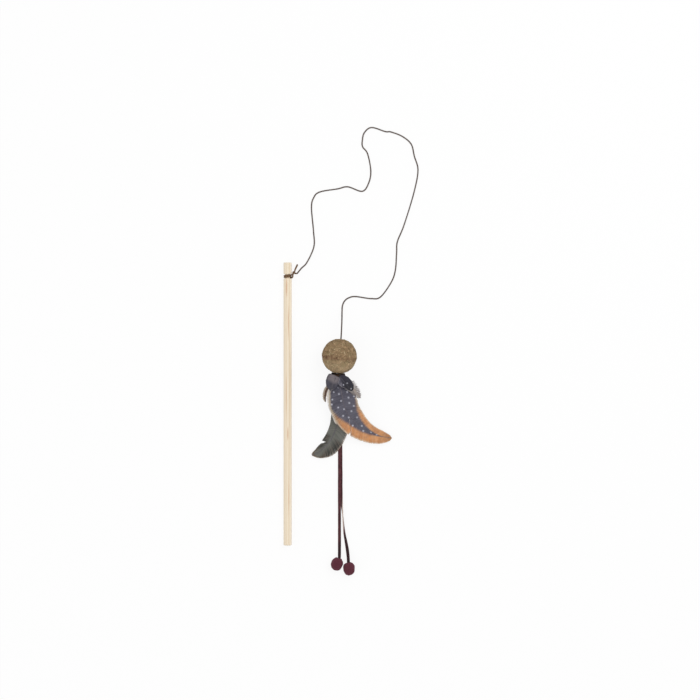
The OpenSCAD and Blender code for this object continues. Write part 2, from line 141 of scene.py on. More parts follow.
def lathe(name: str, profile: Sequence[Point], around: int, closed: bool) -> Mesh:
    """A surface turned about Z.

    Args:
        name: The mesh's name.
        profile: Its radius and height at each ring. A radius of zero makes a pole.
        around: Points in a ring.
        closed: Whether the last ring joins the first, as on a piece with a bore.

    Returns:
        The mesh in millimetres, with its faces outwards.
    """
    shape, rings = bmesh.new(), []
    turn = [2 * math.pi * k / around for k in range(around)]
    for r, z in profile:
        if r == 0:
            rings.append([shape.verts.new((0, 0, z))] * around)
        else:
            rings.append([shape.verts.new((r * math.cos(a), r * math.sin(a), z)) for a in turn])
    for low, high in list(zip(rings, rings[1:])) + ([(rings[-1], rings[0])] if closed else []):
        for k in range(around):
            corners = [low[k], low[(k + 1) % around], high[(k + 1) % around], high[k]]
            shape.faces.new(list(dict.fromkeys(corners)))
    bmesh.ops.recalc_face_normals(shape, faces=shape.faces)
    mesh = bpy.data.meshes.new(name)
    shape.to_mesh(mesh)
    shape.free()
    return mesh


def stand(mesh: Mesh, rule: Callable[[Vector], Vector], way: Array, middle: Array) -> Mesh:
    """Stands a turned surface in its place.

    Args:
        mesh: The surface, about Z and in millimetres.
        rule: Where each of its points moves first.
        way: The level way that its Z turns to.
        middle: Where its origin goes.

    Returns:
        The mesh, in metres.
    """
    for vertex in mesh.vertices:
        vertex.co = rule(vertex.co)
    mesh.update()
    side = np.cross(way, UP)
    turn = Matrix([[side[i], UP[i], way[i]] for i in range(3)]).to_4x4()
    mesh.transform(Matrix.Scale(MM, 4) @ Matrix.Translation(middle) @ turn)
    return mesh


# ---- node trees


def linear(colour: str) -> tuple[float, float, float, float]:
    """An sRGB hex colour as linear light, with full alpha."""
    parts = [int(colour[i : i + 2], 16) / 255 for i in (1, 3, 5)]
    return (*[c / 12.92 if c <= 0.04045 else ((c + 0.055) / 1.055) ** 2.4 for c in parts], 1.0)


def lay_stops(ramp: ColorRamp, stops: Sequence[tuple[float, Any]]) -> None:
    """Sets a ramp's stops, each a place with its colour or its grey level."""
    tones = [(place, linear(tone) if isinstance(tone, str) else (tone, tone, tone, 1)) for place, tone in stops]
    for stop, (place, tone) in zip(ramp.elements, (tones[0], tones[-1])):
        stop.position, stop.color = place, tone
    for place, tone in tones[1:-1]:
        ramp.elements.new(place).color = tone


# Short names of the node kinds that come often: the type, and the setting that a word after a dot gives, or
# that the name itself stands for
MATH = {
    "+": "ADD", "-": "SUBTRACT", "*": "MULTIPLY", "*+": "MULTIPLY_ADD", "/": "DIVIDE", "%": "MODULO", "**": "POWER",
    ">": "GREATER_THAN", "max": "MAXIMUM", "abs": "ABSOLUTE", "cos": "COSINE", "sin": "SINE", "fract": "FRACT",
    "sign": "SIGN", "floor": "FLOOR",
}
VECTOR_MATH = {
    "v+": "ADD", "v-": "SUBTRACT", "v*": "MULTIPLY", "v*+": "MULTIPLY_ADD", "scale": "SCALE",
    "cross": "CROSS_PRODUCT", "unit": "NORMALIZE", "length": "LENGTH",
}
KINDS = {
    **{sign: ("ShaderNodeMath", "operation", word) for sign, word in MATH.items()},
    **{sign: ("ShaderNodeVectorMath", "operation", word) for sign, word in VECTOR_MATH.items()},
    "Split": ("ShaderNodeSeparateXYZ", "", ""),
    "Join": ("ShaderNodeCombineXYZ", "", ""),
    "Mix": ("ShaderNodeMix", "data_type", ""),
    "Span": ("ShaderNodeMapRange", "", ""),
    "Ramp": ("ShaderNodeValToRGB", "", ""),
    "Noise": ("ShaderNodeTexNoise", "", ""),
    "Look": ("ShaderNodeAttribute", "attribute_name", ""),
    "Recall": ("GeometryNodeInputNamedAttribute", "data_type", ""),
    "Store": ("GeometryNodeStoreNamedAttribute", "data_type", ""),
    "Sample": ("GeometryNodeSampleCurve", "data_type", ""),
}


def add(tree: NodeTree, kind: str, *values: Any, out: str = "", **named: Any) -> NodeSocket | None:
    """Adds a node with its settings and links.

    Args:
        tree: The tree that it goes into.
        kind: Its type, or a short name from KINDS, with a word for its setting after a dot.
        *values: What its live inputs take in order: an output, a list of outputs, a value or a hex colour.
        out: Which output is wanted, if not the first that is live.
        **named: More inputs, each by its name with _ for a space. In small letters, its own settings.

    Returns:
        The wanted output.
    """
    short, _, word = kind.partition(".")
    full, setting, fixed = KINDS.get(short, (short, "", ""))
    node = tree.nodes.new(full)
    if setting:
        setattr(node, setting, word or fixed)
    inputs = {key.replace("_", " "): named.pop(key) for key in list(named) if key[0].isupper()}
    for key, value in named.items():
        if key == "stops":
            lay_stops(node.color_ramp, value)
        else:
            setattr(node, key, value)
    live = [socket for socket in node.inputs if socket.enabled]
    for socket, value in [*zip(live, values), *((node.inputs[key], value) for key, value in inputs.items())]:
        for source in value if isinstance(value, list) else [value]:
            if isinstance(source, NodeSocket):
                tree.links.new(source, socket)
            else:
                socket.default_value = linear(source) if str(source).startswith("#") else source
    return node.outputs[out] if out else next((socket for socket in node.outputs if socket.enabled), None)


def cleared(owner: Any) -> Put:
    """Turns on a material's or a world's nodes, takes them out, and returns what adds one."""
    owner.use_nodes = True
    owner.node_tree.nodes.clear()
    return partial(add, owner.node_tree)


class Size(Enum):
    """The kinds of value that a tree's named input can take."""

    SHAPE = "NodeSocketGeometry"
    NUMBER = "NodeSocketFloat"
    COUNT = "NodeSocketInt"
    PLACE = "NodeSocketVector"
    FINISH = "NodeSocketMaterial"


def new_tree(name: str, inputs: dict[Size, list[str]]) -> tuple[NodeTree, Any, Put]:
    """A Geometry Nodes tree with named inputs and one shape as its output.

    Args:
        name: The tree's name.
        inputs: The named inputs of each kind, besides the shape that it works on and its finish.

    Returns:
        The tree, its inputs' sockets by name, and what adds a node to it.
    """
    tree = bpy.data.node_groups.new(name, "GeometryNodeTree")
    tree.interface.new_socket("Geometry", in_out="OUTPUT", socket_type=Size.SHAPE.value)
    for kind, keys in {Size.SHAPE: ["Geometry"], **inputs, Size.FINISH: ["Material"]}.items():
        for key in keys:
            tree.interface.new_socket(key, in_out="INPUT", socket_type=kind.value)
    return tree, tree.nodes.new("NodeGroupInput").outputs, partial(add, tree)


def close_tree(put: Put, o: Any, shape: NodeSocket) -> None:
    """Ends a tree: smooth faces, real geometry and its material."""
    real = put("GeometryNodeRealizeInstances", put("GeometryNodeSetShadeSmooth", shape))
    put("NodeGroupOutput", put("GeometryNodeSetMaterial", real, Material=o["Material"]))


def show(name: str, data: Any) -> Object:
    """A new object in the scene."""
    piece = bpy.data.objects.new(name, data)
    bpy.context.scene.collection.objects.link(piece)
    return piece


def grow(name: str, tree: NodeTree, start: Mesh, values: dict[str, Any]) -> Object:
    """Runs a tree on a start mesh and keeps the result as a plain mesh.

    Args:
        name: The piece's name.
        tree: The tree.
        start: The line or surface that it works on.
        values: A value for each of its named inputs.

    Returns:
        The piece, at the origin and without modifiers.
    """
    piece = show(name, start)
    modifier = piece.modifiers.new(tree.name, "NODES")
    modifier.node_group = tree
    for item in tree.interface.items_tree:
        if item.in_out == "INPUT" and item.name in values:
            modifier[item.identifier] = values[item.name]
    graph = bpy.context.evaluated_depsgraph_get()
    mesh = bpy.data.meshes.new_from_object(piece.evaluated_get(graph), preserve_all_data_layers=True, depsgraph=graph)
    piece.modifiers.remove(modifier)
    piece.data = mesh
    mesh.name = name
    return piece


def rest(piece: Object, height: float = 0.02) -> Object:
    """Flattens what reaches below the table's top onto it, and returns the piece."""
    at = np.zeros(len(piece.data.vertices) * 3, np.float32)
    piece.data.vertices.foreach_get("co", at)
    at[2::3] = np.maximum(at[2::3], height * MM)
    piece.data.vertices.foreach_set("co", at)
    piece.data.update()
    return piece


def settle(piece: Object, body: str, slot: str, *nodes: str) -> None:
    """Rides a piece on a body and hides the nodes that it stands for."""
    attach(piece, body)
    if nodes:
        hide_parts(*nodes)
    log.info("%s: %d faces, on %s", piece.name, len(piece.data.polygons), body)


def tell_cord(piece: Object, path: Array) -> None:
    """Logs the length of a piece that is a limp cord, loose on the table along its path."""
    log.info("%s: %.0f mm long", piece.name, travel(path)[-1])


class SweepTree:
    """Sweeps a section along a line: a laid cord of several strands, or a flat strap.

    The line's attribute side gives the way of the section's width, and girth its scale.
    """

    def __init__(self) -> None:
        """Builds the tree."""
        numbers = ["Width", "Thickness", "Squareness", "Strands", "Strand Depth"]
        self.tree, o, put = new_tree("swept_section", {Size.NUMBER: numbers, Size.COUNT: ["Round"]})
        angle = put("*", put("/", put("GeometryNodeInputIndex"), o["Round"]), 2 * math.pi)
        power = put("/", 2.0, o["Squareness"])
        lay = put("*", angle, put("*", o["Strands"], 0.5))
        crown = put("abs", put("cos", lay))
        lobe = put("*+", put("-", crown, 1.0), o["Strand Depth"], 1.0)
        parts, rounded = [], []
        for turn, size in (("cos", "Width"), ("sin", "Thickness")):
            raw = put(turn, angle)
            square = put("**", put("abs", raw), power)
            rounded.append(put("*", square, put("sign", raw)))
            reach = put("*", o[size], MM / 2)
            parts.append(put("*", put("*", rounded[-1], lobe), reach))
        ring = put("GeometryNodeCurvePrimitiveCircle", o["Round"])
        crowned = put("Store.FLOAT", ring, True, "crown", crown)
        rimmed = put("Store.FLOAT", crowned, True, "rim", put("abs", rounded[0]))
        section = put("GeometryNodeSetPosition", rimmed, True, put("Join", *parts))
        line = put("GeometryNodeMeshToCurve", o["Geometry"])
        held = put("GeometryNodeSetCurveNormal", line, True, put("Recall.FLOAT_VECTOR", "side"), mode="FREE")
        close_tree(put, o, put("GeometryNodeCurveToMesh", held, section, put("Recall.FLOAT", "girth"), True))

    def run(
        self, name: str, path: Array, sides: Array, girth: Array, size: Point, around: int,
        finish: Material, squareness: float = 2.0, strands: float = 0.0, depth: float = 0.0,
    ) -> Object:
        """Sweeps one piece.

        Args:
            name: The piece's name.
            path: Its middle line.
            sides: The way of its width at each point.
            girth: Its scale at each point.
            size: Its width and thickness.
            around: Points round its section.
            finish: Its material.
            squareness: 2 for a round section, and more for a squarer one.
            strands: How many strands show round it.
            depth: How deep the grooves between them are, as a share.

        Returns:
            The piece.
        """
        values = {
            "Width": size[0], "Thickness": size[1], "Squareness": squareness, "Strands": strands,
            "Strand Depth": depth, "Round": around, "Material": finish,
        }
        return grow(name, self.tree, line_mesh(name, path, side=sides, girth=girth), values)


class BarbTree:
    """Grows a feather's barbs from its quill, both sides, as long flat diamonds that lie like tiles.

    The line's attribute web holds the left and right width and the lean, and part the shift along the
    quill of the left and right barb ends, which opens the splits.
    """

    def __init__(self) -> None:
        """Builds the tree."""
        numbers = ["Barb Width", "Barb Height", "Droop", "Ragged", "Wobble", "Clump"]
        counts = ["Barbs", "Segments", "Seed"]
        self.tree, o, put = new_tree("feather_barbs", {Size.NUMBER: numbers, Size.COUNT: counts})
        line = put("GeometryNodeMeshToCurve", o["Geometry"])
        # One point for each barb, numbered, with a four-sided rod on it
        points = put("GeometryNodePoints", put("*", o["Barbs"], 2.0))
        numbered = put("Store.FLOAT", points, True, "number", put("GeometryNodeInputIndex"))
        rod = put("GeometryNodeMeshCylinder", 4, o["Segments"], 1, 1.0, 1.0, fill_type="TRIANGLE_FAN")
        kept = put("Store.FLOAT_VECTOR", rod, True, "local", put("GeometryNodeInputPosition"))
        real = put("GeometryNodeRealizeInstances", put("GeometryNodeInstanceOnPoints", numbered, Instance=kept))
        number = put("Recall.FLOAT", "number")
        x, y, z = put("Split", put("Recall.FLOAT_VECTOR", "local")).node.outputs
        u = put("+", z, 0.5)
        # Left or right, and the place along the quill
        odd = put("%", number, 2.0)
        side = put("*+", odd, 2.0, -1.0)
        chance = [put("FunctionNodeRandomValue", 0.0, 1.0, number, o["Seed"], data_type="FLOAT")]
        for k in (1.7, 3.1):
            chance.append(put("fract", put("*+", chance[0], 97.3 * k, k)))
        s = put("/", put("+", put("floor", put("*", number, 0.5)), chance[1]), o["Barbs"])
        web, part = put("Recall.FLOAT_VECTOR", "web"), put("Recall.FLOAT_VECTOR", "part")
        at, shift = [put("Sample.FLOAT_VECTOR", line, value, s, mode="FACTOR") for value in (web, part)]
        left, right, lean = put("Split", at).node.outputs
        moved = put("Mix.FLOAT", odd, *put("Split", shift).node.outputs[:2])
        # Some barbs are shorter
        lost = put("*", put("**", chance[2], 3.0), o["Ragged"])
        width = put("*", put("Mix.FLOAT", odd, left, right), put("-", 1.0, lost))
        # The barb's own frame: out from the quill, along it, and over the web
        tangent = at.node.outputs["Tangent"]
        right = put("unit", put("cross", (0, 0, 1), tangent))
        over = put("cross", tangent, right)
        outwards = put("scale", right, side)
        cosine, sine = put("cos", lean), put("sin", lean)
        # Groups of barbs hook together: their ends are drawn to the middle of the group
        seeded = put("+", put("*+", odd, 17.3, s), o["Seed"])
        group = put("ShaderNodeTexVoronoi", seeded, 22.0, voronoi_dimensions="1D", feature="F1", out="W")
        drawn = put("*", put("-", group, seeded), o["Clump"])
        pulled = put("*", put("+", drawn, moved), put("**", u, 2.0))
        # Places along the barb
        reach = put("*", u, width)
        across = put("*", reach, cosine)
        forward = put("*+", put("*", put("**", u, 1.3), width), sine, pulled)
        drop = put("*", put("**", reach, 2.0), o["Droop"])
        # Uneven lie
        where = put("v*", put("Join", number, u, o["Seed"]), (0.61, 2.3, 7.7))
        sway = put("v-", put("Noise", where, 1.0, 1.0, out="Color"), (0.5, 0.5, 0.5))
        place = put("scale", sway, put("*", o["Wobble"], u))
        # The rod's section, thinner towards the barb's end
        slim = put("*+", put("**", u, 4.0), -0.45, 1.0)
        back = put("scale", outwards, put("*", sine, -1.0))
        wide_way = put("v+", put("scale", tangent, cosine), back)
        wide = put("*", x, put("*", o["Barb Width"], slim))
        high = put("*", y, put("*", o["Barb Height"], slim))
        lift = put("-", put("*+", wide, 0.3, high), drop)
        for way, size in ((outwards, across), (tangent, forward), (over, lift), (wide_way, wide)):
            place = put("v+", place, put("scale", way, size))
        final = put("v+", put("scale", place, MM), at.node.outputs["Position"])
        spot = put("Join", s, put("*", u, side), chance[2])
        noted = put("Store.FLOAT_VECTOR", real, True, "place", spot)
        laid = put("GeometryNodeSetPosition", noted, True, final)
        close_tree(put, o, put("GeometryNodeRemoveAttribute", laid, "local"))

    def run(self, name: str, path: Array, web: Array, part: Array, pitch: float, values: dict[str, Any]) -> Object:
        """Grows the barbs along a path, a pair at each step of the pitch."""
        barbs = max(int(travel(path)[-1] / pitch), 8)
        return grow(name, self.tree, line_mesh(name, path, web=web, part=part), {"Barbs": barbs, **values})


class StrewTree:
    """Strews slivers over a surface, each at its own turn and size, and joins them to it.

    They are flakes of pressed plant fibre, or fibres of felted wool. A surface needs an axis to get any.
    """

    def __init__(self) -> None:
        """Builds the tree."""
        numbers = ["Density", "Length", "Width", "Thickness", "Bend", "Sink", "Tilt", "Bare Radius"]
        inputs = {Size.NUMBER: numbers, Size.COUNT: ["Segments", "Seed"], Size.PLACE: ["Middle", "Axis"]}
        self.tree, o, put = new_tree("strewn_slivers", inputs)
        # None within the bare radius of the axis through the middle: a bore and its mouths stay clear. With no
        # axis set, the distance is zero everywhere and nothing is strewn
        off = put("v-", put("GeometryNodeInputPosition"), o["Middle"])
        far = put("length", put("cross", off, o["Axis"]))
        outer = put(">", far, put("*", o["Bare Radius"], MM))
        points = put("GeometryNodeDistributePointsOnFaces", o["Geometry"], outer, o["Density"], o["Seed"])
        index = put("GeometryNodeInputIndex")
        spin, scale, shade, tilt = [
            put("FunctionNodeRandomValue", low, high, index, put("+", o["Seed"], k + 1.0), data_type="FLOAT")
            for k, (low, high) in enumerate(((0.0, 2 * math.pi), (0.45, 1.35), (0.0, 1.0), (-1.0, 1.0)))
        ]
        # One sliver, pointed at both ends and bent
        rod = put("GeometryNodeMeshCylinder", 4, o["Segments"], 1, 1.0, 1.0, fill_type="TRIANGLE_FAN")
        x, y, z = put("Split", put("GeometryNodeInputPosition")).node.outputs
        z2 = put("*", z, z)
        slim = put("*+", z2, -3.4, 1.0)
        width = put("*", put("*", x, o["Width"]), slim)
        thick = put("*", put("*", y, o["Thickness"]), slim)
        low = put("-", put("-", thick, o["Sink"]), put("*", z2, o["Bend"]))
        shape = put("Join", put("*", z, o["Length"]), width, low)
        sliver = put("GeometryNodeSetPosition", rod, True, put("scale", shape, MM))
        turn = points.node.outputs["Rotation"]
        for axis, angle in (((0, 0, 1), spin), ((0, 1, 0), put("*", tilt, o["Tilt"]))):
            by = put("FunctionNodeAxisAngleToRotation", axis, angle)
            turn = put("FunctionNodeRotateRotation", turn, by, rotation_space="LOCAL")
        placed = put("GeometryNodeInstanceOnPoints", points, Instance=sliver, Rotation=turn, Scale=scale)
        shaded = put("Store.FLOAT", placed, True, "shade", shade, domain="INSTANCE")
        ground = put("Store.FLOAT", o["Geometry"], True, "shade", -1.0)
        real = put("GeometryNodeRealizeInstances", shaded)
        close_tree(put, o, put("GeometryNodeJoinGeometry", [ground, real]))


# ---- finishes


def over(put: Put, below: Any, tone: Any, value: NodeSocket, *span: float) -> NodeSocket:
    """Lays a tone over what is below, by a share that follows a value.

    Args:
        put: Adds a node.
        below: The colour below.
        tone: The colour that is laid over it.
        value: What the share follows.
        *span: Two levels of the value, and the share at each.

    Returns:
        The colour.
    """
    return put("Mix.RGBA", put("Span", value, *span), below, tone)


class Finish:
    """What every finish shares: a Principled shader over the colour that the finish paints, and its bump."""

    name: str
    roughness: float
    ior: float = 1.5
    sheen: tuple[Any, ...] = ()

    def paint(self, put: Put, place: NodeSocket) -> tuple[Any, ...]:
        """Paints the finish.

        Args:
            put: Adds a node.
            place: The place on the object.

        Returns:
            The colour, and the bump's strength, distance in metres and height where it has one.
        """
        raise NotImplementedError

    def once(self) -> Material:
        """The material, made the first time that it is asked for."""
        if self.name in bpy.data.materials:
            return bpy.data.materials[self.name]
        material = bpy.data.materials.new(self.name)
        put = cleared(material)
        colour, *bump = self.paint(put, put("ShaderNodeTexCoord", out="Object"))
        more = {f"Sheen_{key}": value for key, value in zip(("Weight", "Roughness", "Tint"), self.sheen)}
        if bump:
            more["Normal"] = put("ShaderNodeBump", Strength=bump[0], Distance=bump[1], Height=bump[2])
        shader = put("ShaderNodeBsdfPrincipled", Base_Color=colour, Roughness=self.roughness, IOR=self.ior, **more)
        put("ShaderNodeOutputMaterial", shader)
        return material


@dataclass(frozen=True)
class PineWood(Finish):
    """Pine or poplar dowel, turned and sanded, with no varnish: matt, pale, fine straight grain.

    Each resin streak has its middle and its half width and half length.
    """

    name: str = "pine_turned_and_sanded"
    roughness: float = 0.62
    pale: str = "#f8ebd6"
    grain: str = "#e6d0ae"
    streak: str = "#c98f62"
    ring_mm: float = 1.7
    streaks: tuple[Point, ...] = (
        (-63.2, 163, 1.2, 12), (-61, 120, 0.6, 22), (-63.6, 30, 0.5, 28), (-61.6, -18, 0.8, 9), (-60.4, -96, 0.5, 24),
    )

    def paint(self, put: Put, place: NodeSocket) -> tuple[Any, ...]:
        """Growth rings about a heart off the dowel's side, drawn out along it, then fibres and streaks."""
        centred = put("ShaderNodeMapping", place, (0.0735, 0.0, 0.004), Scale=(1.0, 0.02, 1.0))
        waver = put("Noise", centred, 260.0, 2.0, out="Color")
        bent = put("v*+", waver, (0.0012, 0.0, 0.0012), centred)
        far = put("length", put("v*", bent, (1, 0, 1)))
        saw = put("fract", put("*", far, 1 / (self.ring_mm * MM)))
        late = put("Ramp", saw, stops=((0.0, 0), (0.45, 0.12), (0.82, 1.0), (0.93, 0.55), (1.0, 0)))
        # Fine fibre lines, about 0.2 mm apart and some 8 mm long
        fine = put("Noise", put("ShaderNodeMapping", place, Scale=(1.0, 0.025, 1.0)), 4200.0, 3.0)
        wood = put("Mix.RGBA", late, self.pale, self.grain)
        paint = over(put, wood, self.grain, fine, 0.45, 0.75, 0.0, 0.35)
        # A few resin streaks along the grain
        x, y, _ = put("Split", place).node.outputs
        for streak in self.streaks:
            parts = []
            for at, middle, half in zip((x, y), streak[:2], streak[2:]):
                share = put("/", put("-", at, middle * MM), half * MM)
                parts.append(put("**", share, 2.0))
            paint = over(put, paint, self.streak, put("+", *parts), 0.0, 1.3, 0.6, 0.0)
        return paint, 0.25, 0.0001, fine


@dataclass(frozen=True)
class WaxedCord(Finish):
    """Waxed cotton cord, three strands laid together: soft shine on the crowns, and painted shade in the grooves
    between them.
    """

    name: str
    crown: str
    groove_shade_and_thread_tone: str
    pale: str
    roughness: float = 0.5

    def paint(self, put: Put, place: NodeSocket) -> tuple[Any, ...]:
        """Wax that rubs off in patches some 6 mm long, painted shade in the grooves, and single threads about 0.3 mm
        wide.
        """
        threads = put("Noise", place, 3000.0, 2.0)
        base = over(put, self.crown, self.pale, put("Noise", place, 170.0, 2.0), 0.4, 0.7, 0.0, 0.8)
        # Painted shade: the grooves between the strands are painted darker
        laid = over(put, base, self.groove_shade_and_thread_tone, put("Look.crown", out="Fac"), 0.0, 0.6, 0.85, 0.0)
        return over(put, laid, self.groove_shade_and_thread_tone, threads, 0.3, 0.7, 0.3, 0.0), 0.4, 0.0001, threads


@dataclass(frozen=True)
class PressedFibre(Finish):
    """Plant fibre ground, wetted and pressed into a ball: matt, crumbly, olive and tan flakes."""

    name: str = "pressed_plant_fibre"
    roughness: float = 0.85
    ior: float = 1.4
    dark: str = "#5f4830"
    body: str = "#9c8060"
    olive: str = "#8f7e58"
    tan: str = "#bb9c76"
    straw: str = "#e2cda6"
    seam: str = "#66422e"
    seam_half: float = 3.8

    def paint(self, put: Put, place: NodeSocket) -> tuple[Any, ...]:
        """Patches some 5 mm wide where the fibre is greener or browner, crumbs of 0.6 mm, flakes, seam, and painted
        light on the half towards the feathers.
        """
        patches, crumbs = put("Noise", place, 190.0, 3.0), put("Noise", place, 1500.0, 4.0)
        body = put("Ramp", patches, stops=((0.3, self.olive), (0.5, self.body), (0.68, self.tan)))
        ground = over(put, body, self.dark, crumbs, 0.35, 0.6, 0.55, 0.0)
        # Each flake has its own tone
        shade = put("Look.shade", out="Fac")
        tones = ((0.0, self.dark), (0.2, self.olive), (0.5, self.body), (0.8, self.tan), (1.0, self.straw))
        mixed = over(put, ground, put("Ramp", shade, stops=tones), shade, -0.2, 0.0, 0.0, 0.74)
        # Darker, redder patches along the mould's seam
        turn = (0.0, 0.0, -BORE_TURN)
        local = put("ShaderNodeMapping", place, tuple(BALL_MIDDLE * MM), turn, vector_type="TEXTURE")
        x, y, _ = put("Split", local).node.outputs
        near = put("abs", put("+", y, 0.0028))
        band = put("Span", near, 0.0, self.seam_half * MM, 1.0, 0.0)
        blotch = put("Span", patches, 0.42, 0.6, 1.0, 0.35)
        patched = put("*", put("Span", x, -0.012, 0.006, 1.0, 0.45), blotch)
        stain = put("*", band, patched)
        # Painted light: the half of the ball towards the feathers is painted paler, as its lit side
        painted_light_half = over(put, mixed, self.straw, y, -0.001, -0.013, 0.0, 0.2)
        return put("Mix.RGBA", stain, painted_light_half, self.seam), 0.9, 0.0005, crumbs


@dataclass(frozen=True)
class HotGlue(Finish):
    """Hot-melt glue, brown with the dust of the quills: smooth, half gloss, slightly waxy."""

    name: str = "hot_melt_glue"
    roughness: float = 0.35
    ior: float = 1.48
    dark: str = "#33251c"
    pale: str = "#54402f"

    def paint(self, put: Put, place: NodeSocket) -> tuple[Any, ...]:
        """Clouds some 1.5 mm wide."""
        cloud = put("Noise", place, 600.0, 3.0)
        return put("Mix.RGBA", cloud, self.dark, self.pale), 0.5, 0.0003, cloud


@dataclass(frozen=True)
class FeatherVane(Finish):
    """A feather's web: fine overlapping barbs with a soft sheen, toned barb by barb.

    The mesh's attribute marks holds how much of the spot, margin and fringe colour shows.
    """

    name: str
    deep: str
    body: str
    light: str
    margin_high: str = "#9c8268"
    margin_low: str = "#e4a066"
    margin_tip: str = "#bd8757"
    margin_red: str = "#a5603c"
    fringe: str = "#eedcc2"
    spot: str = "#d2d2de"
    patch_scale: float = 120.0
    dark_to: float = 0.3
    roughness: float = 0.62
    ior: float = 1.4
    sheen: tuple[Any, ...] = (0.07, 0.4)

    def paint(self, put: Put, place: NodeSocket) -> tuple[Any, ...]:
        """The vane, darker towards the binding, and over it margins, fringe and spots."""
        s, _, chance = put("Split", put("Look.place", out="Vector")).node.outputs
        spot, margin, fringe = put("Split", put("Look.marks", out="Vector")).node.outputs
        patches = put("Noise", place, self.patch_scale, 2.0)
        wide = put("Span", patches, 0.35, 0.65, 0.45, 1.0)
        toned = put("*", wide, put("Span", s, 0.06, self.dark_to, 0.0, 1.0))
        single = put("Span", chance, 0.3, 1.0, 0.0, 0.5)
        paint = put("Mix.RGBA", single, put("Mix.RGBA", toned, self.deep, self.body), self.light)
        tones = ((0.3, self.margin_high), (0.46, self.margin_low), (0.82, self.margin_low), (0.97, self.margin_tip))
        edge = put("Ramp", s, stops=tones)
        rusted = over(put, edge, self.margin_red, patches, 0.6, 0.4, 0.0, 0.4)
        dulled = put("Mix.RGBA", put("*", single, 0.4), rusted, self.fringe)
        for share, tone in ((margin, dulled), (fringe, self.fringe), (spot, self.spot)):
            paint = put("Mix.RGBA", share, paint, tone)
        return (paint,)


@dataclass(frozen=True)
class QuillHorn(Finish):
    """A feather's shaft: keratin, smooth and half glossy."""

    name: str
    tone: str
    shadow: str
    roughness: float = 0.38
    ior: float = 1.54

    def paint(self, put: Put, place: NodeSocket) -> tuple[Any, ...]:
        """Clouds some 4 mm long."""
        return (put("Mix.RGBA", put("Noise", place, 220.0, 2.0), self.shadow, self.tone),)


@dataclass(frozen=True)
class Suede(Finish):
    """Split leather dyed burgundy, brushed to a nap, with pale cut edges: no gloss, light over the rims."""

    name: str = "suede_lace_dyed"
    roughness: float = 0.9
    ior: float = 1.4
    sheen: tuple[Any, ...] = (0.25, 0.45, "#a86a70")
    dye: str = "#4e282d"
    brushed: str = "#62343a"
    worn: str = "#381c20"
    cut: str = "#7d5a54"
    painted_highlight_edge: str = "#ead9cb"
    painted_shade_by_felt: str = "#1b0d10"

    def paint(self, put: Put, place: NodeSocket) -> tuple[Any, ...]:
        """Nap brushed one way and the other in patches 4 mm long, tufts of 0.25 mm, cut edges, a painted highlight on
        the edge in the twist and painted shade above the felt balls.
        """
        swept, tufts = put("Noise", place, 240.0, 3.0), put("Noise", place, 4000.0, 3.0)
        nap = put("Ramp", swept, stops=((0.3, self.worn), (0.5, self.dye), (0.7, self.brushed)))
        napped = over(put, nap, self.worn, tufts, 0.35, 0.65, 0.35, 0.0)
        # Painted highlight: along 40 mm about y = -119 mm, where the right lace stands on edge in its twist, its cut
        # edge is painted near white. Painted shade: just above the felt balls the lace is painted nearly black
        x, y, _ = put("Split", place).node.outputs
        far = put("abs", put("+", y, 0.119))
        edge = over(put, self.cut, self.painted_highlight_edge, far, 0.011, 0.022, 1.0, 0.0)
        trimmed = over(put, napped, edge, put("Look.rim", out="Fac"), 0.9, 0.98, 0.0, 0.85)
        # Painted shade, nearly black, on the lace just above its felt ball
        beside = put("*+", x, -2.2, y)
        return over(put, trimmed, self.painted_shade_by_felt, beside, -0.151, -0.165, 0.0, 0.8), 0.6, 0.0002, tufts


@dataclass(frozen=True)
class WoolFelt(Finish):
    """Wool needle-felted into a ball and dyed burgundy: matt, with a light fuzz over the rims."""

    name: str = "wool_needle_felted"
    roughness: float = 0.92
    ior: float = 1.4
    sheen: tuple[Any, ...] = (0.3, 0.5, "#b0788a")
    dark: str = "#3d1a24"
    dye: str = "#6b303e"
    bright: str = "#984c5f"

    def paint(self, put: Put, place: NodeSocket) -> tuple[Any, ...]:
        """A mat with knots of 0.7 mm, and a tone of its own for each fibre that is strewn on it."""
        mat = put("Noise", place, 1400.0, 4.0)
        shade = put("Look.shade", out="Fac")
        fibre = put("Ramp", shade, stops=((0.0, self.dark), (0.55, self.dye), (1.0, self.bright)))
        ground = put("Mix.RGBA", mat, self.dark, self.dye)
        return over(put, ground, fibre, shade, -0.2, 0.0, 0.0, 1.0), 0.7, 0.0003, mat


# ---- sub-assemblies


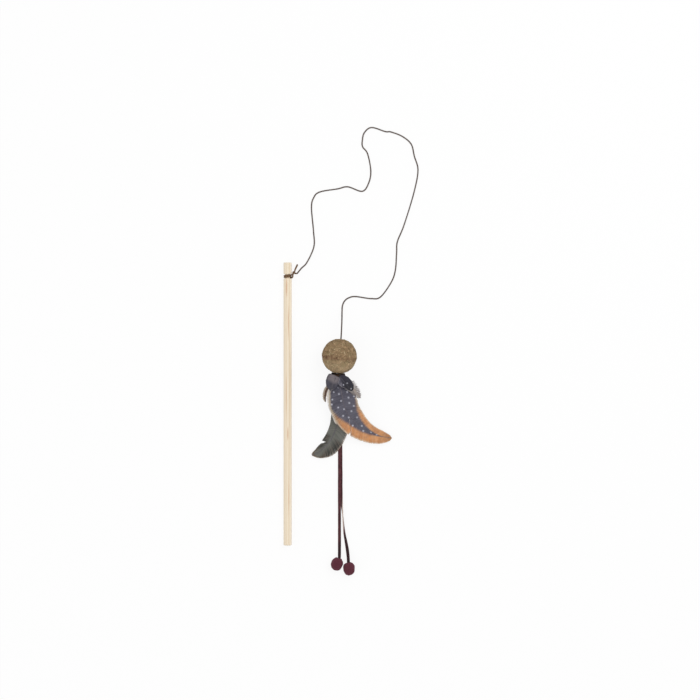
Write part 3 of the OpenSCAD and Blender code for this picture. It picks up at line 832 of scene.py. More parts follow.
@dataclass
class Studio:
    """The camera straight above the table, the lamps and the pale floor."""

    middle: tuple[float, float] = (15.25, 85.75)
    frame_width: float = 868.0
    distance: float = 3000.0
    sensor: float = 36.0
    world_level: float = 0.66
    floor_half: float = 9.0
    floor_glow: float = 0.88
    # Each lamp's name, place, width and power
    lamps: tuple[tuple[str, Point, float, float], ...] = (
        ("key", (0.9, 0.9, 1.9), 1.4, 15.5), ("fill", (-1.3, -0.7, 1.5), 1.6, 5.0),
    )

    def aim(self) -> None:
        """Sets up a long lens that looks straight down."""
        data = bpy.data.cameras.new("camera")
        data.sensor_width = self.sensor
        data.lens = self.sensor * self.distance / self.frame_width
        data.clip_start, data.clip_end = 0.05, 50
        camera = show("camera", data)
        camera.location = [v * MM for v in (*self.middle, self.distance)]
        bpy.context.scene.camera = camera

    def light(self) -> None:
        """Hangs one wide soft lamp above to the right, a weaker one to the left, and an even world."""
        for name, place, size, watts in self.lamps:
            data = bpy.data.lights.new(name, "AREA")
            data.shape, data.size, data.energy = "SQUARE", size, watts
            lamp = show(name, data)
            lamp.location = place
            lamp.rotation_euler = (Vector((0, 0.05, 0)) - Vector(place)).to_track_quat("-Z", "Y").to_euler()
        world = bpy.data.worlds.new("studio")
        bpy.context.scene.world = world
        put = cleared(world)
        lit, seen = [put("ShaderNodeBackground", "#ffffff", level) for level in (self.world_level, 1.0)]
        put("ShaderNodeOutputWorld", put("ShaderNodeMixShader", self.seen(put), lit, seen))

    def seen(self, put: Put) -> NodeSocket:
        """One for a ray from the camera or out of a mirror or glass, and zero for the light itself."""
        path = put("ShaderNodeLightPath").node.outputs
        first = put("max", path["Is Camera Ray"], path["Is Glossy Ray"])
        return put("max", first, path["Is Transmission Ray"])

    def floor(self) -> None:
        """Lays a white floor that keeps a soft share of the object's shadow."""
        mesh = bpy.data.meshes.new("floor")
        h = self.floor_half
        mesh.from_pydata([(-h, -h, 0), (h, -h, 0), (h, h, 0), (-h, h, 0)], [], [(0, 1, 2, 3)])
        show("floor", mesh)
        material = bpy.data.materials.new("white_paper")
        put = cleared(material)
        paper, glow = put("ShaderNodeBsdfDiffuse", "#fdfdfd"), put("ShaderNodeEmission", "#ffffff", 1.0)
        share = put("*", self.seen(put), self.floor_glow)
        put("ShaderNodeOutputMaterial", put("ShaderNodeMixShader", share, paper, glow))
        mesh.materials.append(material)

    def build(self) -> None:
        """Sets up all of it."""
        bpy.context.scene.view_settings.view_transform = "Standard"
        self.aim()
        self.light()
        self.floor()
        log.info("studio: camera %.0f mm above the table", self.distance)


@dataclass
class Cord:
    """The waxed cord: tied to the stick, loose over the table, and through the ball to its knot."""

    sweep: SweepTree
    strands: float = 3.0
    strand_depth: float = 0.1
    around: int = 18
    stub_swell: float = 0.15
    lay: float = 5.2
    tight_lay: float = 4.4
    lie_z: float = 1.0
    mouth_run: float = 5.0
    route: tuple[Point, ...] = (
        (-45, 187, 1.6), (-38, 194.5), (-29.5, 214), (-30, 233), (-32.5, 262), (-30, 274), (-22.5, 281.5), (0, 285.5),
        (12.5, 288), (30.5, 282.5), (38.5, 293), (41, 308), (37, 329), (31, 337.5), (30.5, 345), (33, 355), (42, 361.5),
        (59, 356.5), (66, 356), (80, 350.5), (91, 341), (95, 326), (99.5, 308), (94, 279), (82, 240), (74, 220),
        (73, 206), (71.5, 185), (66.5, 170), (53, 151.5), (41, 149.5), (22, 152), (14, 150.5), (9, 147), (6, 141, 1.6),
        (5.4, 133, 5), (5.2, 121, 12.5),
    )
    stub: tuple[Point, ...] = (
        (7, 14, 0.2), (5.6, 11, 0.4), (4.4, 8.4, 0.4), (3.6, 5.8, 0), (2.6, 3.6, -0.6), (1, 2.2, -0.6),
    )
    hitch: tuple[Point, ...] = (
        (0.4, -1.7, 0.8), (1.1, -1, 2), (1.5, 0.3, 2.4), (1.4, 1.8, 2.3), (1.6, 3.3, 1.4), (1.9, 4.5, -0.7),
        (2.2, 5.4, -2.6), (4.2, 3.8, -3.1), (5.8, 3.6, -2.2),
    )
    turn_angles: tuple[float, float] = (35.0, 685.0)
    turn_pitch: float = 1.7
    pulled_down: float = 0.3
    tie_d: float = 1.95
    turn_rings: int = 44
    free: WaxedCord = WaxedCord("waxed_cotton_cord", "#605149", "#2f2520", "#786a61")
    tight: WaxedCord = WaxedCord("waxed_cotton_cord_pulled_tight", "#71502f", "#46301c", "#85633f", 0.5)

    def tie_path(self) -> Array:
        """The tie's path: stub, turns round the neck and half hitch, about the middle of its turns."""
        k = np.arange(self.turn_rings + 1) / self.turn_rings
        first, last = self.turn_angles
        a = np.radians(first + (last - first) * k)
        r = STICK_R - self.tie_d / 2
        y = self.turn_pitch * (last - first) / 360 * (0.5 - k) - self.pulled_down
        turns = np.column_stack([r * np.cos(a), y, r * np.sin(a)])
        beside = (STICK_R, 0, 0)
        stub = np.vstack([np.array(self.stub) + beside, turns[:1]])
        hitch = np.vstack([turns[-1:], np.array(self.hitch) + beside])
        return np.vstack([curve(stub, 18), turns[1:-1], curve(hitch, 26)])

    def points(self) -> Array:
        """The free cord's route, from the tie's end to the ball's mouth."""
        tie = self.tie_path()
        start = TIE_MIDDLE + tie[-1] + (CORD_D / 2 + SWING_GAP) * unit(tie[-1] - tie[-2])
        laid = [(*p, self.lie_z) if len(p) == 2 else p for p in self.route]
        return np.vstack([[start], laid, [BALL_MOUTH + self.mouth_run * BORE_WAY], [BALL_MOUTH]])

    def laid(
        self, name: str, path: Array, width: float, lay: float, finish: WaxedCord, swell: float = 0.0
    ) -> Object:
        """Sweeps the laid strands along a path.

        Args:
            name: The piece's name.
            path: Its middle line.
            width: Its diameter over the strands' crowns.
            lay: Length of one turn of a strand.
            finish: Its finish.
            swell: How much thicker its first 8 mm are, as a cut end that was melted is.

        Returns:
            The piece.
        """
        first, *_, last = ways(path)
        caps = [width / 2 * math.sin(math.radians(a)) for a in END_TURNS]
        whole = np.vstack([[path[0] - c * first for c in caps], path, [path[-1] + c * last for c in caps[::-1]]])
        swollen = 1 + swell * np.clip(1.6 - travel(path) / 5, 0, 1)
        girth = np.concatenate([np.array(END_GIRTHS) * swollen[0], swollen, END_GIRTHS[::-1]])
        sides = turned(carried_sides(whole), whole, 2 * math.pi * travel(whole) / lay)
        look = {"strands": self.strands, "depth": self.strand_depth}
        return self.sweep.run(name, whole, sides, girth, (width, width), self.around, finish.once(), **look)

    def build(self) -> None:
        """Makes the free cord and the tie."""
        path = curve(self.points(), 1240)
        cord = self.laid("waxed_cord", path, CORD_D, self.lay, self.free)
        settle(cord, "cord", "cord", "cord")
        tell_cord(cord, path)
        tie = curve(self.tie_path()[::2], 420) + TIE_MIDDLE
        wraps = self.laid("cord_tie_wraps", tie, self.tie_d, self.tight_lay, self.tight, self.stub_swell)
        settle(wraps, "wand", "cord_dark", "cord_tie")


@dataclass
class FibreBall:
    """The ball of pressed plant fibre, with its bore, its mould seam and its flakes.

    Each dent has its place, radius and depth.
    """

    strew: StrewTree
    bore_r: float = 1.03
    funnel: tuple[Point, ...] = ((1.25, 19.95), (2.8, 21.0))
    seam_h: float = 0.28
    seam_half: float = 0.9
    lumps: float = 0.35
    crumbs: float = 0.12
    rings: int = 150
    around: int = 210
    bare_r: float = 5.2
    dents: tuple[Point, ...] = (
        (18.2, -7, 8, 2.3, 0.9), (-9, 12, 14.8, 1.6, 0.5), (3, -13, 16.4, 1.4, 0.4), (-15, -9, 12.2, 1.8, 0.5),
    )

    def surface(self, p: Vector) -> Vector:
        """Where the pressed surface lies for a point of the plain ball, its bore along Z."""
        mouth_r = self.funnel[-1][0]
        if math.hypot(p.x, p.y) < mouth_r + 0.2 or p.length < BALL_R - 1:
            return p
        rise = self.lumps * noise.fractal(p * 0.16, 1.0, 2.0, 3)
        rise += self.crumbs * noise.fractal(p * 1.1 + Vector((7, 3, 1)), 0.8, 2.1, 3)
        seam = math.exp(-((p.z / self.seam_half) ** 2)) * self.seam_h
        rise += seam * (0.55 + 0.9 * noise.noise(p * 0.35))
        for x, y, z, r, depth in self.dents:
            rise -= depth * math.exp(-(((p - Vector((x, z, y))).length / r) ** 2))
        # Smooth towards the mouths
        mouth = min((math.hypot(p.x, p.y) - mouth_r) / 4, 1)
        return p.normalized() * (BALL_R + min(rise, 0.3 * mouth) - 0.1 * (1 - mouth))

    def build(self) -> None:
        """Makes the ball."""
        low, top = self.funnel
        start = math.asin(top[0] / BALL_R)
        arc = [start + (math.pi - 2 * start) * k / self.rings for k in range(self.rings + 1)]
        outer = [(BALL_R * math.sin(a), BALL_R * math.cos(a)) for a in arc]
        profile = [(self.bore_r, -low[1]), (self.bore_r, low[1]), low, *outer, (low[0], -low[1])]
        mesh = stand(lathe("fibre_ball", profile, self.around, True), self.surface, BORE_WAY, BALL_MIDDLE)
        values = {
            "Density": 480000.0, "Length": 3.6, "Width": 0.42, "Thickness": 0.13, "Bend": 0.16, "Sink": 0.02,
            "Tilt": 0.05, "Bare Radius": self.bare_r, "Middle": tuple(BALL_MIDDLE * MM), "Axis": tuple(BORE_WAY),
            "Segments": 2, "Seed": 4, "Material": PressedFibre().once(),
        }
        settle(rest(grow("pressed_fibre_ball", self.strew.tree, mesh, values)), "ball", "pressed_fibre", "pressed_ball")


@dataclass
class Binding:
    """The glued core, the cord's end with its stopper knot, and the dark thread wound round the core."""

    cord: Cord
    core_r: float = 5.4
    thread_d: float = 0.6
    turns: int = 6
    cross_turns: int = 2
    pitch: float = 0.62
    start: float = 0.1
    socket_r: float = 2.38
    mouth_r: float = 1.75
    knot_scale: float = 0.5
    knot_d: float = 1.35
    knot_open: float = 0.35
    uneven: float = 0.12
    thread: WaxedCord = WaxedCord("waxed_binding_thread", "#33261f", "#120c09", "#4a3a31", 0.45)

    def cast(self) -> Object:
        """Casts the glue round the quills, with its socket round the knot."""
        r = self.socket_r
        turn = np.linspace(0, math.pi - math.asin(self.mouth_r / r), 15)
        socket = [(r * math.sin(a) if a else 0, -r * math.cos(a)) for a in turn]
        rim = [(self.mouth_r + 0.3, 1.6), (3.0, 1.35), (4.2, 0.7), (5.0, -0.05), (self.core_r, -0.7)]
        wall = [(self.core_r, z) for z in np.linspace(-1, -4.9, 9)]
        foot = [(self.core_r - 0.4, CORE_FOOT), (2.5, CORE_FOOT), (0, CORE_FOOT)]

        def lumpy(p: Vector) -> Vector:
            """The glue as it set, except inside the socket."""
            swell = 0.25 * noise.fractal(p * 0.45, 1.0, 2.0, 2) if p.length > r + 0.3 else 0.0
            return Vector((p.x * (1 + swell / self.core_r), p.y * (1 + swell / self.core_r), p.z))

        mesh = lathe("glue_core", [*socket, *rim, *wall, *foot], 72, False)
        stand(mesh, lumpy, np.array([0.0, 1.0, 0.0]), KNOT_MIDDLE)
        mesh.materials.append(HotGlue().once())
        mesh.shade_smooth()
        return show("glue_core_cast", mesh)

    def knot(self) -> Object:
        """Ties the stopper knot, an overhand knot pulled tight."""
        turn = np.linspace(self.knot_open, 2 * math.pi - self.knot_open, 140)
        x, y, z = np.sin(turn) + 2 * np.sin(2 * turn), np.cos(turn) - 2 * np.cos(2 * turn), -np.sin(3 * turn)
        path = np.column_stack([x, y, z * 1.3]) * self.knot_scale
        path -= (path.max(axis=0) + path.min(axis=0)) / 2
        return self.cord.laid("stopper_knot_tied", KNOT_MIDDLE + path, self.knot_d, 3.0, self.cord.free)

    def wind(self) -> Object:
        """Winds the thread. Its last turns cross back over the others."""
        once_round = 2 * math.pi
        back = once_round * self.cross_turns
        turn = np.linspace(0, once_round * self.turns + back, 60 * (self.turns + self.cross_turns) + 1)
        wound = np.minimum(turn, once_round * self.turns)
        down = self.start + self.thread_d / 2 + self.pitch * wound / once_round
        over = (turn - wound) / back
        down -= over * self.pitch * (self.turns - 0.5)
        wander = self.uneven * np.array([noise.noise(Vector((a * 0.7, 3.0, 0.0))) for a in turn])
        r = self.core_r + LAY_GAP + self.thread_d / 2 + wander + self.thread_d * 0.75 * np.minimum(over * 12, 1)
        path = KNOT_MIDDLE + np.column_stack([r * np.cos(turn), -down - wander, r * np.sin(turn)])
        return self.cord.laid("binding_thread_wound", path, self.thread_d, 2.4, self.thread)

    def build(self) -> None:
        """Casts the core, ties the knot, and winds the thread."""
        settle(self.cast(), "feathers", "glue", "quill_core")
        settle(self.knot(), "cord_end", "cord_dark", "stopper_knot")
        up = BALL_MIDDLE + (BALL_R - CORD_D / 2 - SWING_GAP) * BORE_WAY
        inner = np.linspace(KNOT_MIDDLE, up, 160)
        settle(self.cord.laid("cord_end_laid", inner, CORD_D, 4.0, self.cord.free), "cord_end", "cord", "cord_end")
        settle(self.wind(), "feathers", "thread", "thread_binding")


class Side(Enum):
    """A feather's two webs, as seen from above with its tip towards the viewer."""

    LEFT = 0
    RIGHT = 1


@dataclass
class Feather:
    """One feather: a quill with barbs on both sides, and down where the web begins.

    Sizes follow the frame's solid: shares give the route and its height, rows the share along the quill and
    the webs' width shares. Slate gives how far out the vane's own colours reach on each side.
    """

    name: str
    slot: str
    root: Point
    shares: tuple[Point, ...]
    reach: float
    rows: tuple[Point, ...]
    half_w: float
    camber: float
    vane: FeatherVane
    quill: QuillHorn
    leans: tuple[Point, ...] = ((0, 10), (1, 35))
    quill_r: float = 0.6
    pitch: float = 0.42
    segments: int = 12
    width: float = 0.46
    height: float = 0.08
    ragged: float = 0.07
    wobble: float = 0.4
    clump: float = 3.5
    down: tuple[Point, ...] = ()
    seed: int = 1
    splits: tuple[tuple[float, Side, float], ...] = ()
    slate: tuple[Point, ...] = ((0.0, 2.0, 2.0), (1.0, 2.0, 2.0))
    blend: float = 0.14
    fringe: tuple[float, float] = (2.0, 2.0)
    spots: tuple[Point, ...] = ()
    spot_r: float = 1.05
    steps: int = 240
    split_run: float = 0.035

    def route(self) -> Array:
        """The quill's middle line, at even steps of its own share."""
        down = [(x * self.reach, -y * self.reach, (h - 1) * KNOT_MIDDLE[2]) for x, y, h in self.shares]
        return KNOT_MIDDLE + curve([tuple(self.root), *down], self.steps)

    def webs(self, barb_tree: BarbTree) -> Object:
        """Grows the barbs."""
        s = np.linspace(0, 1, self.steps + 1)
        rows, leans = np.array(self.rows).T, np.array(self.leans).T
        wide = np.array([np.interp(s, rows[0], row) * self.half_w for row in rows[1:]])
        shift = np.zeros((2, len(s)))
        for at, side, gap in self.splits:
            shift[side.value] += np.sign(s - at) * gap * np.exp(-np.abs(s - at) / self.split_run)
        used = np.flatnonzero(wide.sum(axis=0) > 0.06 * self.half_w)
        used = slice(used[0], used[-1] + 1)
        web = np.column_stack([*wide, np.radians(np.interp(s, *leans))])[used]
        values = {
            "Segments": self.segments, "Seed": self.seed, "Barb Width": self.width, "Barb Height": self.height,
            "Droop": self.camber / self.half_w**2, "Ragged": self.ragged, "Wobble": self.wobble, "Clump": self.clump,
            "Material": self.vane.once(),
        }
        part = np.column_stack([*shift, s])[used]
        return barb_tree.run(self.name, self.route()[used], web, part, self.pitch, values)

    def mark(self, piece: Object) -> None:
        """Notes on each point how much of the spot, margin and fringe colours it takes."""
        mesh = piece.data
        place, at = np.zeros((2, len(mesh.vertices) * 3), np.float32)
        mesh.attributes["place"].data.foreach_get("vector", place)
        mesh.vertices.foreach_get("co", at)
        s, u, chance = place.reshape(-1, 3).T
        x, y, _ = (at.reshape(-1, 3) / MM - KNOT_MIDDLE).T
        table = np.array(self.slate).T
        limit = np.where(u < 0, *[np.interp(s, table[0], row) for row in table[1:]])
        margin = np.clip((np.abs(u) - limit + 0.05 * (chance - 0.5)) / self.blend, 0, 1)
        fringe = np.clip((np.abs(u) - np.where(u < 0, *self.fringe)) / 0.1, 0, 1)
        spot = np.zeros(len(s))
        for at_x, at_y in self.spots:
            share = np.clip((self.spot_r + 0.3 - np.hypot(x - at_x, y - at_y)) / 0.6, 0, 1)
            spot = np.maximum(spot, share * (0.85 + 0.1 * math.cos(at_x + at_y)))
        marks = np.column_stack([spot, margin, fringe * 0.75]).astype(np.float32)
        mesh.attributes.new("marks", "FLOAT_VECTOR", "POINT").data.foreach_set("vector", marks.ravel())

    def fluff(self, barb_tree: BarbTree, finish: FeatherVane) -> Object:
        """Grows the down by the quill's foot: long soft barbs that don't hook together."""
        s = np.linspace(0, 1, self.steps + 1)
        rows = np.array(self.down).T
        used = (s >= rows[0, 0]) & (s <= rows[0, -1])
        left, right, lean = [np.interp(s, rows[0], row) for row in rows[1:]]
        web = np.column_stack([left, right, np.radians(lean)])[used]
        values = {
            "Segments": 10, "Seed": self.seed + 50, "Barb Width": 0.12, "Barb Height": 0.1, "Droop": 0.012,
            "Ragged": 0.5, "Wobble": 4.0, "Clump": 8.0, "Material": finish.once(),
        }
        return barb_tree.run(self.name + "_down", self.route()[used], web, np.zeros_like(web), 0.11, values)

    def build(self, barb_tree: BarbTree, sweep: SweepTree) -> None:
        """Makes the feather's webs, its down and its quill."""
        webs = self.webs(barb_tree)
        self.mark(webs)
        settle(webs, "feathers", self.slot, *[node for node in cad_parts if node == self.name])
        if self.down:
            tones = replace(self.vane, name=self.vane.name + "_down", light=self.vane.body)
            settle(self.fluff(barb_tree, tones), "feathers", self.slot)
        path, size = self.route(), (2 * self.quill_r, 2 * self.quill_r)
        girth = np.linspace(1, 0.4, len(path))
        quill = sweep.run(self.name + "_quill", path, carried_sides(path), girth, size, 10, self.quill.once())
        settle(quill, "feathers", self.slot)


SLATE_QUILL = QuillHorn("quill_horn_slate", "#6d6670", "#4d4850")
DARK_QUILL = QuillHorn("quill_horn_dark", "#413e49", "#2d2b34")
PALE_QUILL = QuillHorn("quill_horn_pale", "#d9c8ad", "#b79f80")
COVERT_ROWS = (
    (0, 0, 0), (0.17, 0, 0), (0.27, 0.55, 0.55), (0.37, 0.9, 0.9), (0.5, 1, 1), (0.68, 0.95, 0.95), (0.82, 0.75, 0.75),
    (0.93, 0.45, 0.45), (1, 0.05, 0.05),
)


def scaled_rows(left: float, right: float) -> tuple[Point, ...]:
    """The small feathers' rows, with each web's width scaled."""
    return tuple((s, a * left, b * right) for s, a, b in COVERT_ROWS)


FEATHERS = (
    Feather(
        "feather_spotted_main", "slate_feather", (0.2, -3.2, 1.6),
        (
            (0.046, 0.207, 1.1), (0.089, 0.405, 1.03), (0.182, 0.548, 0.85), (0.319, 0.665, 0.61), (0.486, 0.744, 0.38),
            (0.671, 0.778, 0.22),
        ), 100,
        (
            (0, 0, 0), (0.02, 0.3, 0.3), (0.055, 0.6, 0.6), (0.1, 0.76, 0.74), (0.167, 0.9, 0.92), (0.25, 0.98, 1),
            (0.333, 1, 1), (0.42, 1.02, 0.96), (0.5, 1.03, 0.88), (0.538, 0.99, 0.83), (0.545, 0.8, 0.82),
            (0.552, 0.97, 0.81), (0.667, 0.84, 0.66), (0.76, 0.72, 0.56), (0.833, 0.6, 0.5), (0.91, 0.42, 0.34),
            (0.96, 0.25, 0.2), (1, 0, 0),
        ),
        18.5, 4.2, FeatherVane("feather_slate_white_spotted", "#42404e", "#656370", "#807e8c"), SLATE_QUILL,
        segments=24, pitch=0.36, splits=((0.545, Side.LEFT, 0.5), (0.8, Side.LEFT, 0.3)), seed=3,
        leans=((0, -60), (0.05, -35), (0.12, 5), (0.3, 17), (1, 35)), fringe=(0.86, 0.88), blend=0.2,
        slate=(
            (0, 2, 2), (0.18, 1.6, 0.98), (0.25, 0.98, 0.8), (0.33, 0.72, 0.72), (0.4, 0.5, 0.65), (0.47, 0.34, 0.56),
            (0.55, 0.26, 0.48), (0.667, 0.19, 0.35), (0.78, 0.05, 0.17), (0.87, -0.07, 0.01), (0.93, -0.2, -0.2),
            (1, -1, -1),
        ),
        spots=(
            (0.6, -14.9), (-4.7, -20.5), (11.7, -20.5), (1.6, -22.9), (-6.6, -29.7), (13.3, -27.3), (20.1, -25.7),
            (4.2, -31.3), (14.3, -33.9), (-7.3, -35.9), (19.8, -37.6), (0.6, -39.5), (7.8, -41.5), (16.9, -44),
            (6.7, -49.8), (13.6, -51.8), (23.8, -51.8), (18.5, -61.9), (29.8, -62.4), (31.5, -68.5), (41, -70.6),
            (48, -73.7),
        ),
        down=((0, 4, 4, -30), (0.07, 9, 9, -10), (0.16, 10, 9, 10)),
    ),
    Feather(
        "feather_green_long", "green_feather", (-0.2, -3.2, 0.1),
        (
            (0, 0.09, 0.99), (0.012, 0.2, 0.73), (0.015, 0.368, 0.53), (-0.01, 0.616, 0.37), (-0.097, 0.814, 0.29),
            (-0.208, 0.93, 0.24), (-0.318, 0.995, 0.19),
        ), 100,
        (
            (0, 0, 0), (0.13, 0, 0), (0.2, 0.15, 0.15), (0.286, 0.4, 0.5), (0.36, 0.52, 0.78), (0.43, 0.58, 0.95),
            (0.5, 0.6, 1), (0.571, 0.6, 1.03), (0.65, 0.6, 1.04), (0.72, 0.62, 1), (0.735, 0.3, 0.98),
            (0.75, 0.5, 0.95), (0.8, 0.48, 0.8), (0.857, 0.42, 0.6), (0.93, 0.3, 0.3), (0.97, 0.18, 0.14), (1, 0, 0),
        ),
        16.5, 1.8,
        FeatherVane("feather_grey_green", "#63675f", "#70706a", "#8f8d85", "#6a6157", "#323431", "#735f4b", "#323431",
                    "#cdb9a8"),
        SLATE_QUILL, segments=14, pitch=0.36, clump=0.7, ragged=0.03, leans=((0, 10), (0.8, 33), (1, 55)),
        splits=((0.735, Side.LEFT, 1.5), (0.62, Side.RIGHT, 0.4)), blend=0.5, fringe=(2.0, 0.9), seed=8,
        slate=((0, 2, 2), (0.55, 2, 2), (0.66, 0.1, 0.1), (0.84, 0.1, 0.1), (0.92, 0.6, 0.7), (1, 0, 0)),
    ),
    # The grey covert's pale pinkish vane colours paint the highlight on the top of its dome; the dark slate margin and
    # fringe colours round it are its own slate
    Feather(
        "feather_grey_covert", "slate_feather", (-1.6, -3.2, 2.6),
        ((-0.063, 0.03, 1.335), (-0.12, 0.2, 1.37), (-0.22, 0.42, 1.33), (-0.27, 0.62, 1.16)), 30,
        (
            (0, 0, 0), (0.2, 0, 0), (0.225, 0.15, 0.2), (0.25, 0.38, 0.4), (0.27, 0.62, 0.5), (0.3, 0.88, 0.58),
            (0.33, 1.08, 0.62), (0.42, 1.18, 0.68), (0.55, 1.18, 0.7), (0.7, 0.92, 0.6), (0.82, 0.6, 0.45),
            (0.93, 0.3, 0.25), (1, 0.05, 0.05),
        ),
        9, 1.6,
        FeatherVane("feather_slate_painted_highlight", "#857c80", "#988f93", "#a89fa2", "#4b4955", "#53515d", "#54525e", "#5a5560",
                    "#4a4750", dark_to=0.5),
        SLATE_QUILL, quill_r=0.35, pitch=0.16, width=0.5, clump=1.5, ragged=0.04, seed=5, fringe=(0.84, 2.0),
        leans=((0, -10), (0.25, -6), (0.3, -12), (0.33, -9), (0.42, 6), (0.55, 19), (0.7, 38), (1, 40)), blend=0.9,
        slate=(
            (0, 0.45, 0.35), (0.22, 0.45, 0.35), (0.32, 0.2, 0.1), (0.41, -0.2, -0.2), (0.5, -0.6, -0.6), (1, -1, -1),
        ),
    ),
    # The spotted covert's lighter slate near the binding and on the upper left of its web paints the light on the top
    # of its dome; lower down it is its own near-black slate
    Feather(
        "feather_spotted_covert", "slate_feather", (1.9, -3.2, 2.8),
        ((0.093, 0.035, 1.335), (0.22, 0.2, 1.4), (0.4, 0.42, 1.36), (0.58, 0.63, 1.17)), 30,
        (
            (0, 0, 0), (0.2, 0, 0), (0.225, 0.3, 0.2), (0.27, 0.6, 0.58), (0.38, 0.88, 0.98), (0.5, 0.92, 1.12),
            (0.6, 0.74, 1.08), (0.7, 0.58, 1), (0.82, 0.5, 0.75), (0.93, 0.3, 0.42), (1, 0.05, 0.05),
        ),
        9, 1.6,
        FeatherVane("feather_dark_slate_spotted", "#403e4a", "#12111b", "#2b2935", "#686672", "#686672", "#686672",
                    "#605e6a", "#d8d0d5", dark_to=0.6),
        DARK_QUILL, slate=((0, 0.1, 2), (0.28, 0.2, 2), (0.42, 2, 2), (1, 2, 2)), blend=0.6, spot_r=0.8,
        leans=((0, 30), (0.27, 30), (0.38, 27), (0.5, 38), (0.7, 48), (1, 50)), pitch=0.16, width=0.5, clump=2.0,
        ragged=0.1, wobble=0.6, segments=14, fringe=(0.93, 2.0), spots=((7.1, -11.5), (11.7, -9.5), (16.5, -16.2)),
        seed=6,
    ),
    Feather(
        "feather_brown_covert", "brown_feather", (-3.3, -3.2, 0.9),
        ((-0.29, 0.33, 0.98), (-0.455, 0.6, 0.89), (-0.52, 0.87, 0.8), (-0.5, 1.1, 0.72)), 30,
        scaled_rows(0.42, 0.16), 9, 2, FeatherVane("feather_brown", "#46301f", "#624430", "#7c5f49", fringe="#d6c8b6"),
        QuillHorn("quill_horn_brown", "#6b4f3c", "#4a3527"), pitch=0.26, ragged=0.4, wobble=1.1,
        fringe=(0.42, 2.0), seed=2,
    ),
    Feather(
        "feather_buff_covert", "buff_feather", (-1.9, -3.2, 0.3),
        ((-0.13, 0.33, 0.985), (-0.235, 0.67, 0.91), (-0.25, 1.27, 0.76), (-0.14, 1.73, 0.6), (-0.05, 2, 0.5)), 30,
        (
            (0, 0, 0), (0.1, 0, 0), (0.14, 0.85, 0.4), (0.3, 0.98, 0.6), (0.42, 0.92, 0.6), (0.55, 0.55, 0.5),
            (0.7, 0.3, 0.4), (0.8, 0.25, 0.3), (0.93, 0.2, 0.2), (1, 0.05, 0.05),
        ),
        9, 2, FeatherVane("feather_buff", "#fff1e4", "#fff8f0", "#ffffff"), PALE_QUILL, pitch=0.32, seed=9,
        ragged=0.3, wobble=1.0,
    ),
    Feather(
        "down_tuft", "down", (2.4, -3.2, 0.9), ((0.33, 0.29, 1.14), (0.6, 0.5, 1.1), (0.92, 0.92, 0.92)), 30,
        scaled_rows(0.8, 0.85), 9, 1, FeatherVane("feather_down_grey", "#857b79", "#a99f9c", "#dbd1cd"), PALE_QUILL,
        pitch=0.12, segments=8, width=0.12, height=0.09, ragged=0.6, wobble=5.0, clump=9.0, quill_r=0.35, seed=7,
    ),
    # Short dark barbs, left on the quills' feet, stand out round the core under the ball; their near-black tone also
    # paints the shade in the gap between the ball and the feathers
    Feather(
        "quill_foot_barbs", "brown_feather", (-8.3, 1.0, -2.4),
        ((-0.4, 0.1, 0.776), (0, 0.15, 0.74), (0.45, 0.1, 0.776), (0.9, -0.06, 0.888)), 10,
        ((0, 0.7, 1), (0.25, 0.6, 1.45), (0.5, 0.6, 1.38), (0.75, 0.6, 1.26), (1, 0.7, 0.75)), 3, 0.3,
        FeatherVane("feather_foot_dark", "#2c2019", "#3c2d24", "#544237"), DARK_QUILL, leans=((0, 0), (1, 0)),
        pitch=0.14, segments=5, width=0.4, clump=0.6, ragged=0.12, wobble=0.5, quill_r=0.3, seed=4,
    ),
)


@dataclass
class Bunch:
    """All the feathers of the lure, and the few long barbs that have come loose from their web."""

    barbs: BarbTree
    sweep: SweepTree
    strays: tuple[tuple[Point, ...], ...] = (
        ((-6.3, -17, 7.4), (-9.6, -20.2, 4.6), (-12.2, -25.2, 2.2)),
        ((9.8, -17.2, 5.6), (13.6, -18.8, 4.9), (17.8, -20.8, 3.6)),
        ((22.6, -24.5, 1.2), (25.4, -26.8, 0.6), (27.9, -29.3, -0.4)),
        ((14.9, -53.6, -2), (14.3, -57.5, -3), (14.5, -61.6, -4.3)),
        ((15.8, -63, -4.9), (16.9, -70, -7.6), (18.3, -77.6, -11)),
    )
    split_line: tuple[Point, ...] = ((14.9, -61, -4.2), (16.1, -69, -7.3), (17.4, -77.8, -10.8))
    stray_size: tuple[float, float] = (0.75, 0.25)

    def build(self) -> None:
        """Makes every feather, and lays the loose barbs and the dark one in the split."""
        for feather in FEATHERS:
            feather.build(self.barbs, self.sweep)
        pale = QuillHorn("barb_loose_pale", "#fff8f4", "#eadfd8").once()
        dark = QuillHorn("barb_at_the_split_dark", "#5a4334", "#3d2c22").once()
        for k, points in enumerate([*self.strays, self.split_line], 1):
            path = KNOT_MIDDLE + curve(points, 24)
            girth = np.linspace(1, 0.35, len(path))
            finish = dark if points is self.split_line else pale
            barb = self.sweep.run(f"stray_barb_{k}", path, carried_sides(path), girth, self.stray_size, 6, finish)
            settle(barb, "feathers", "down")


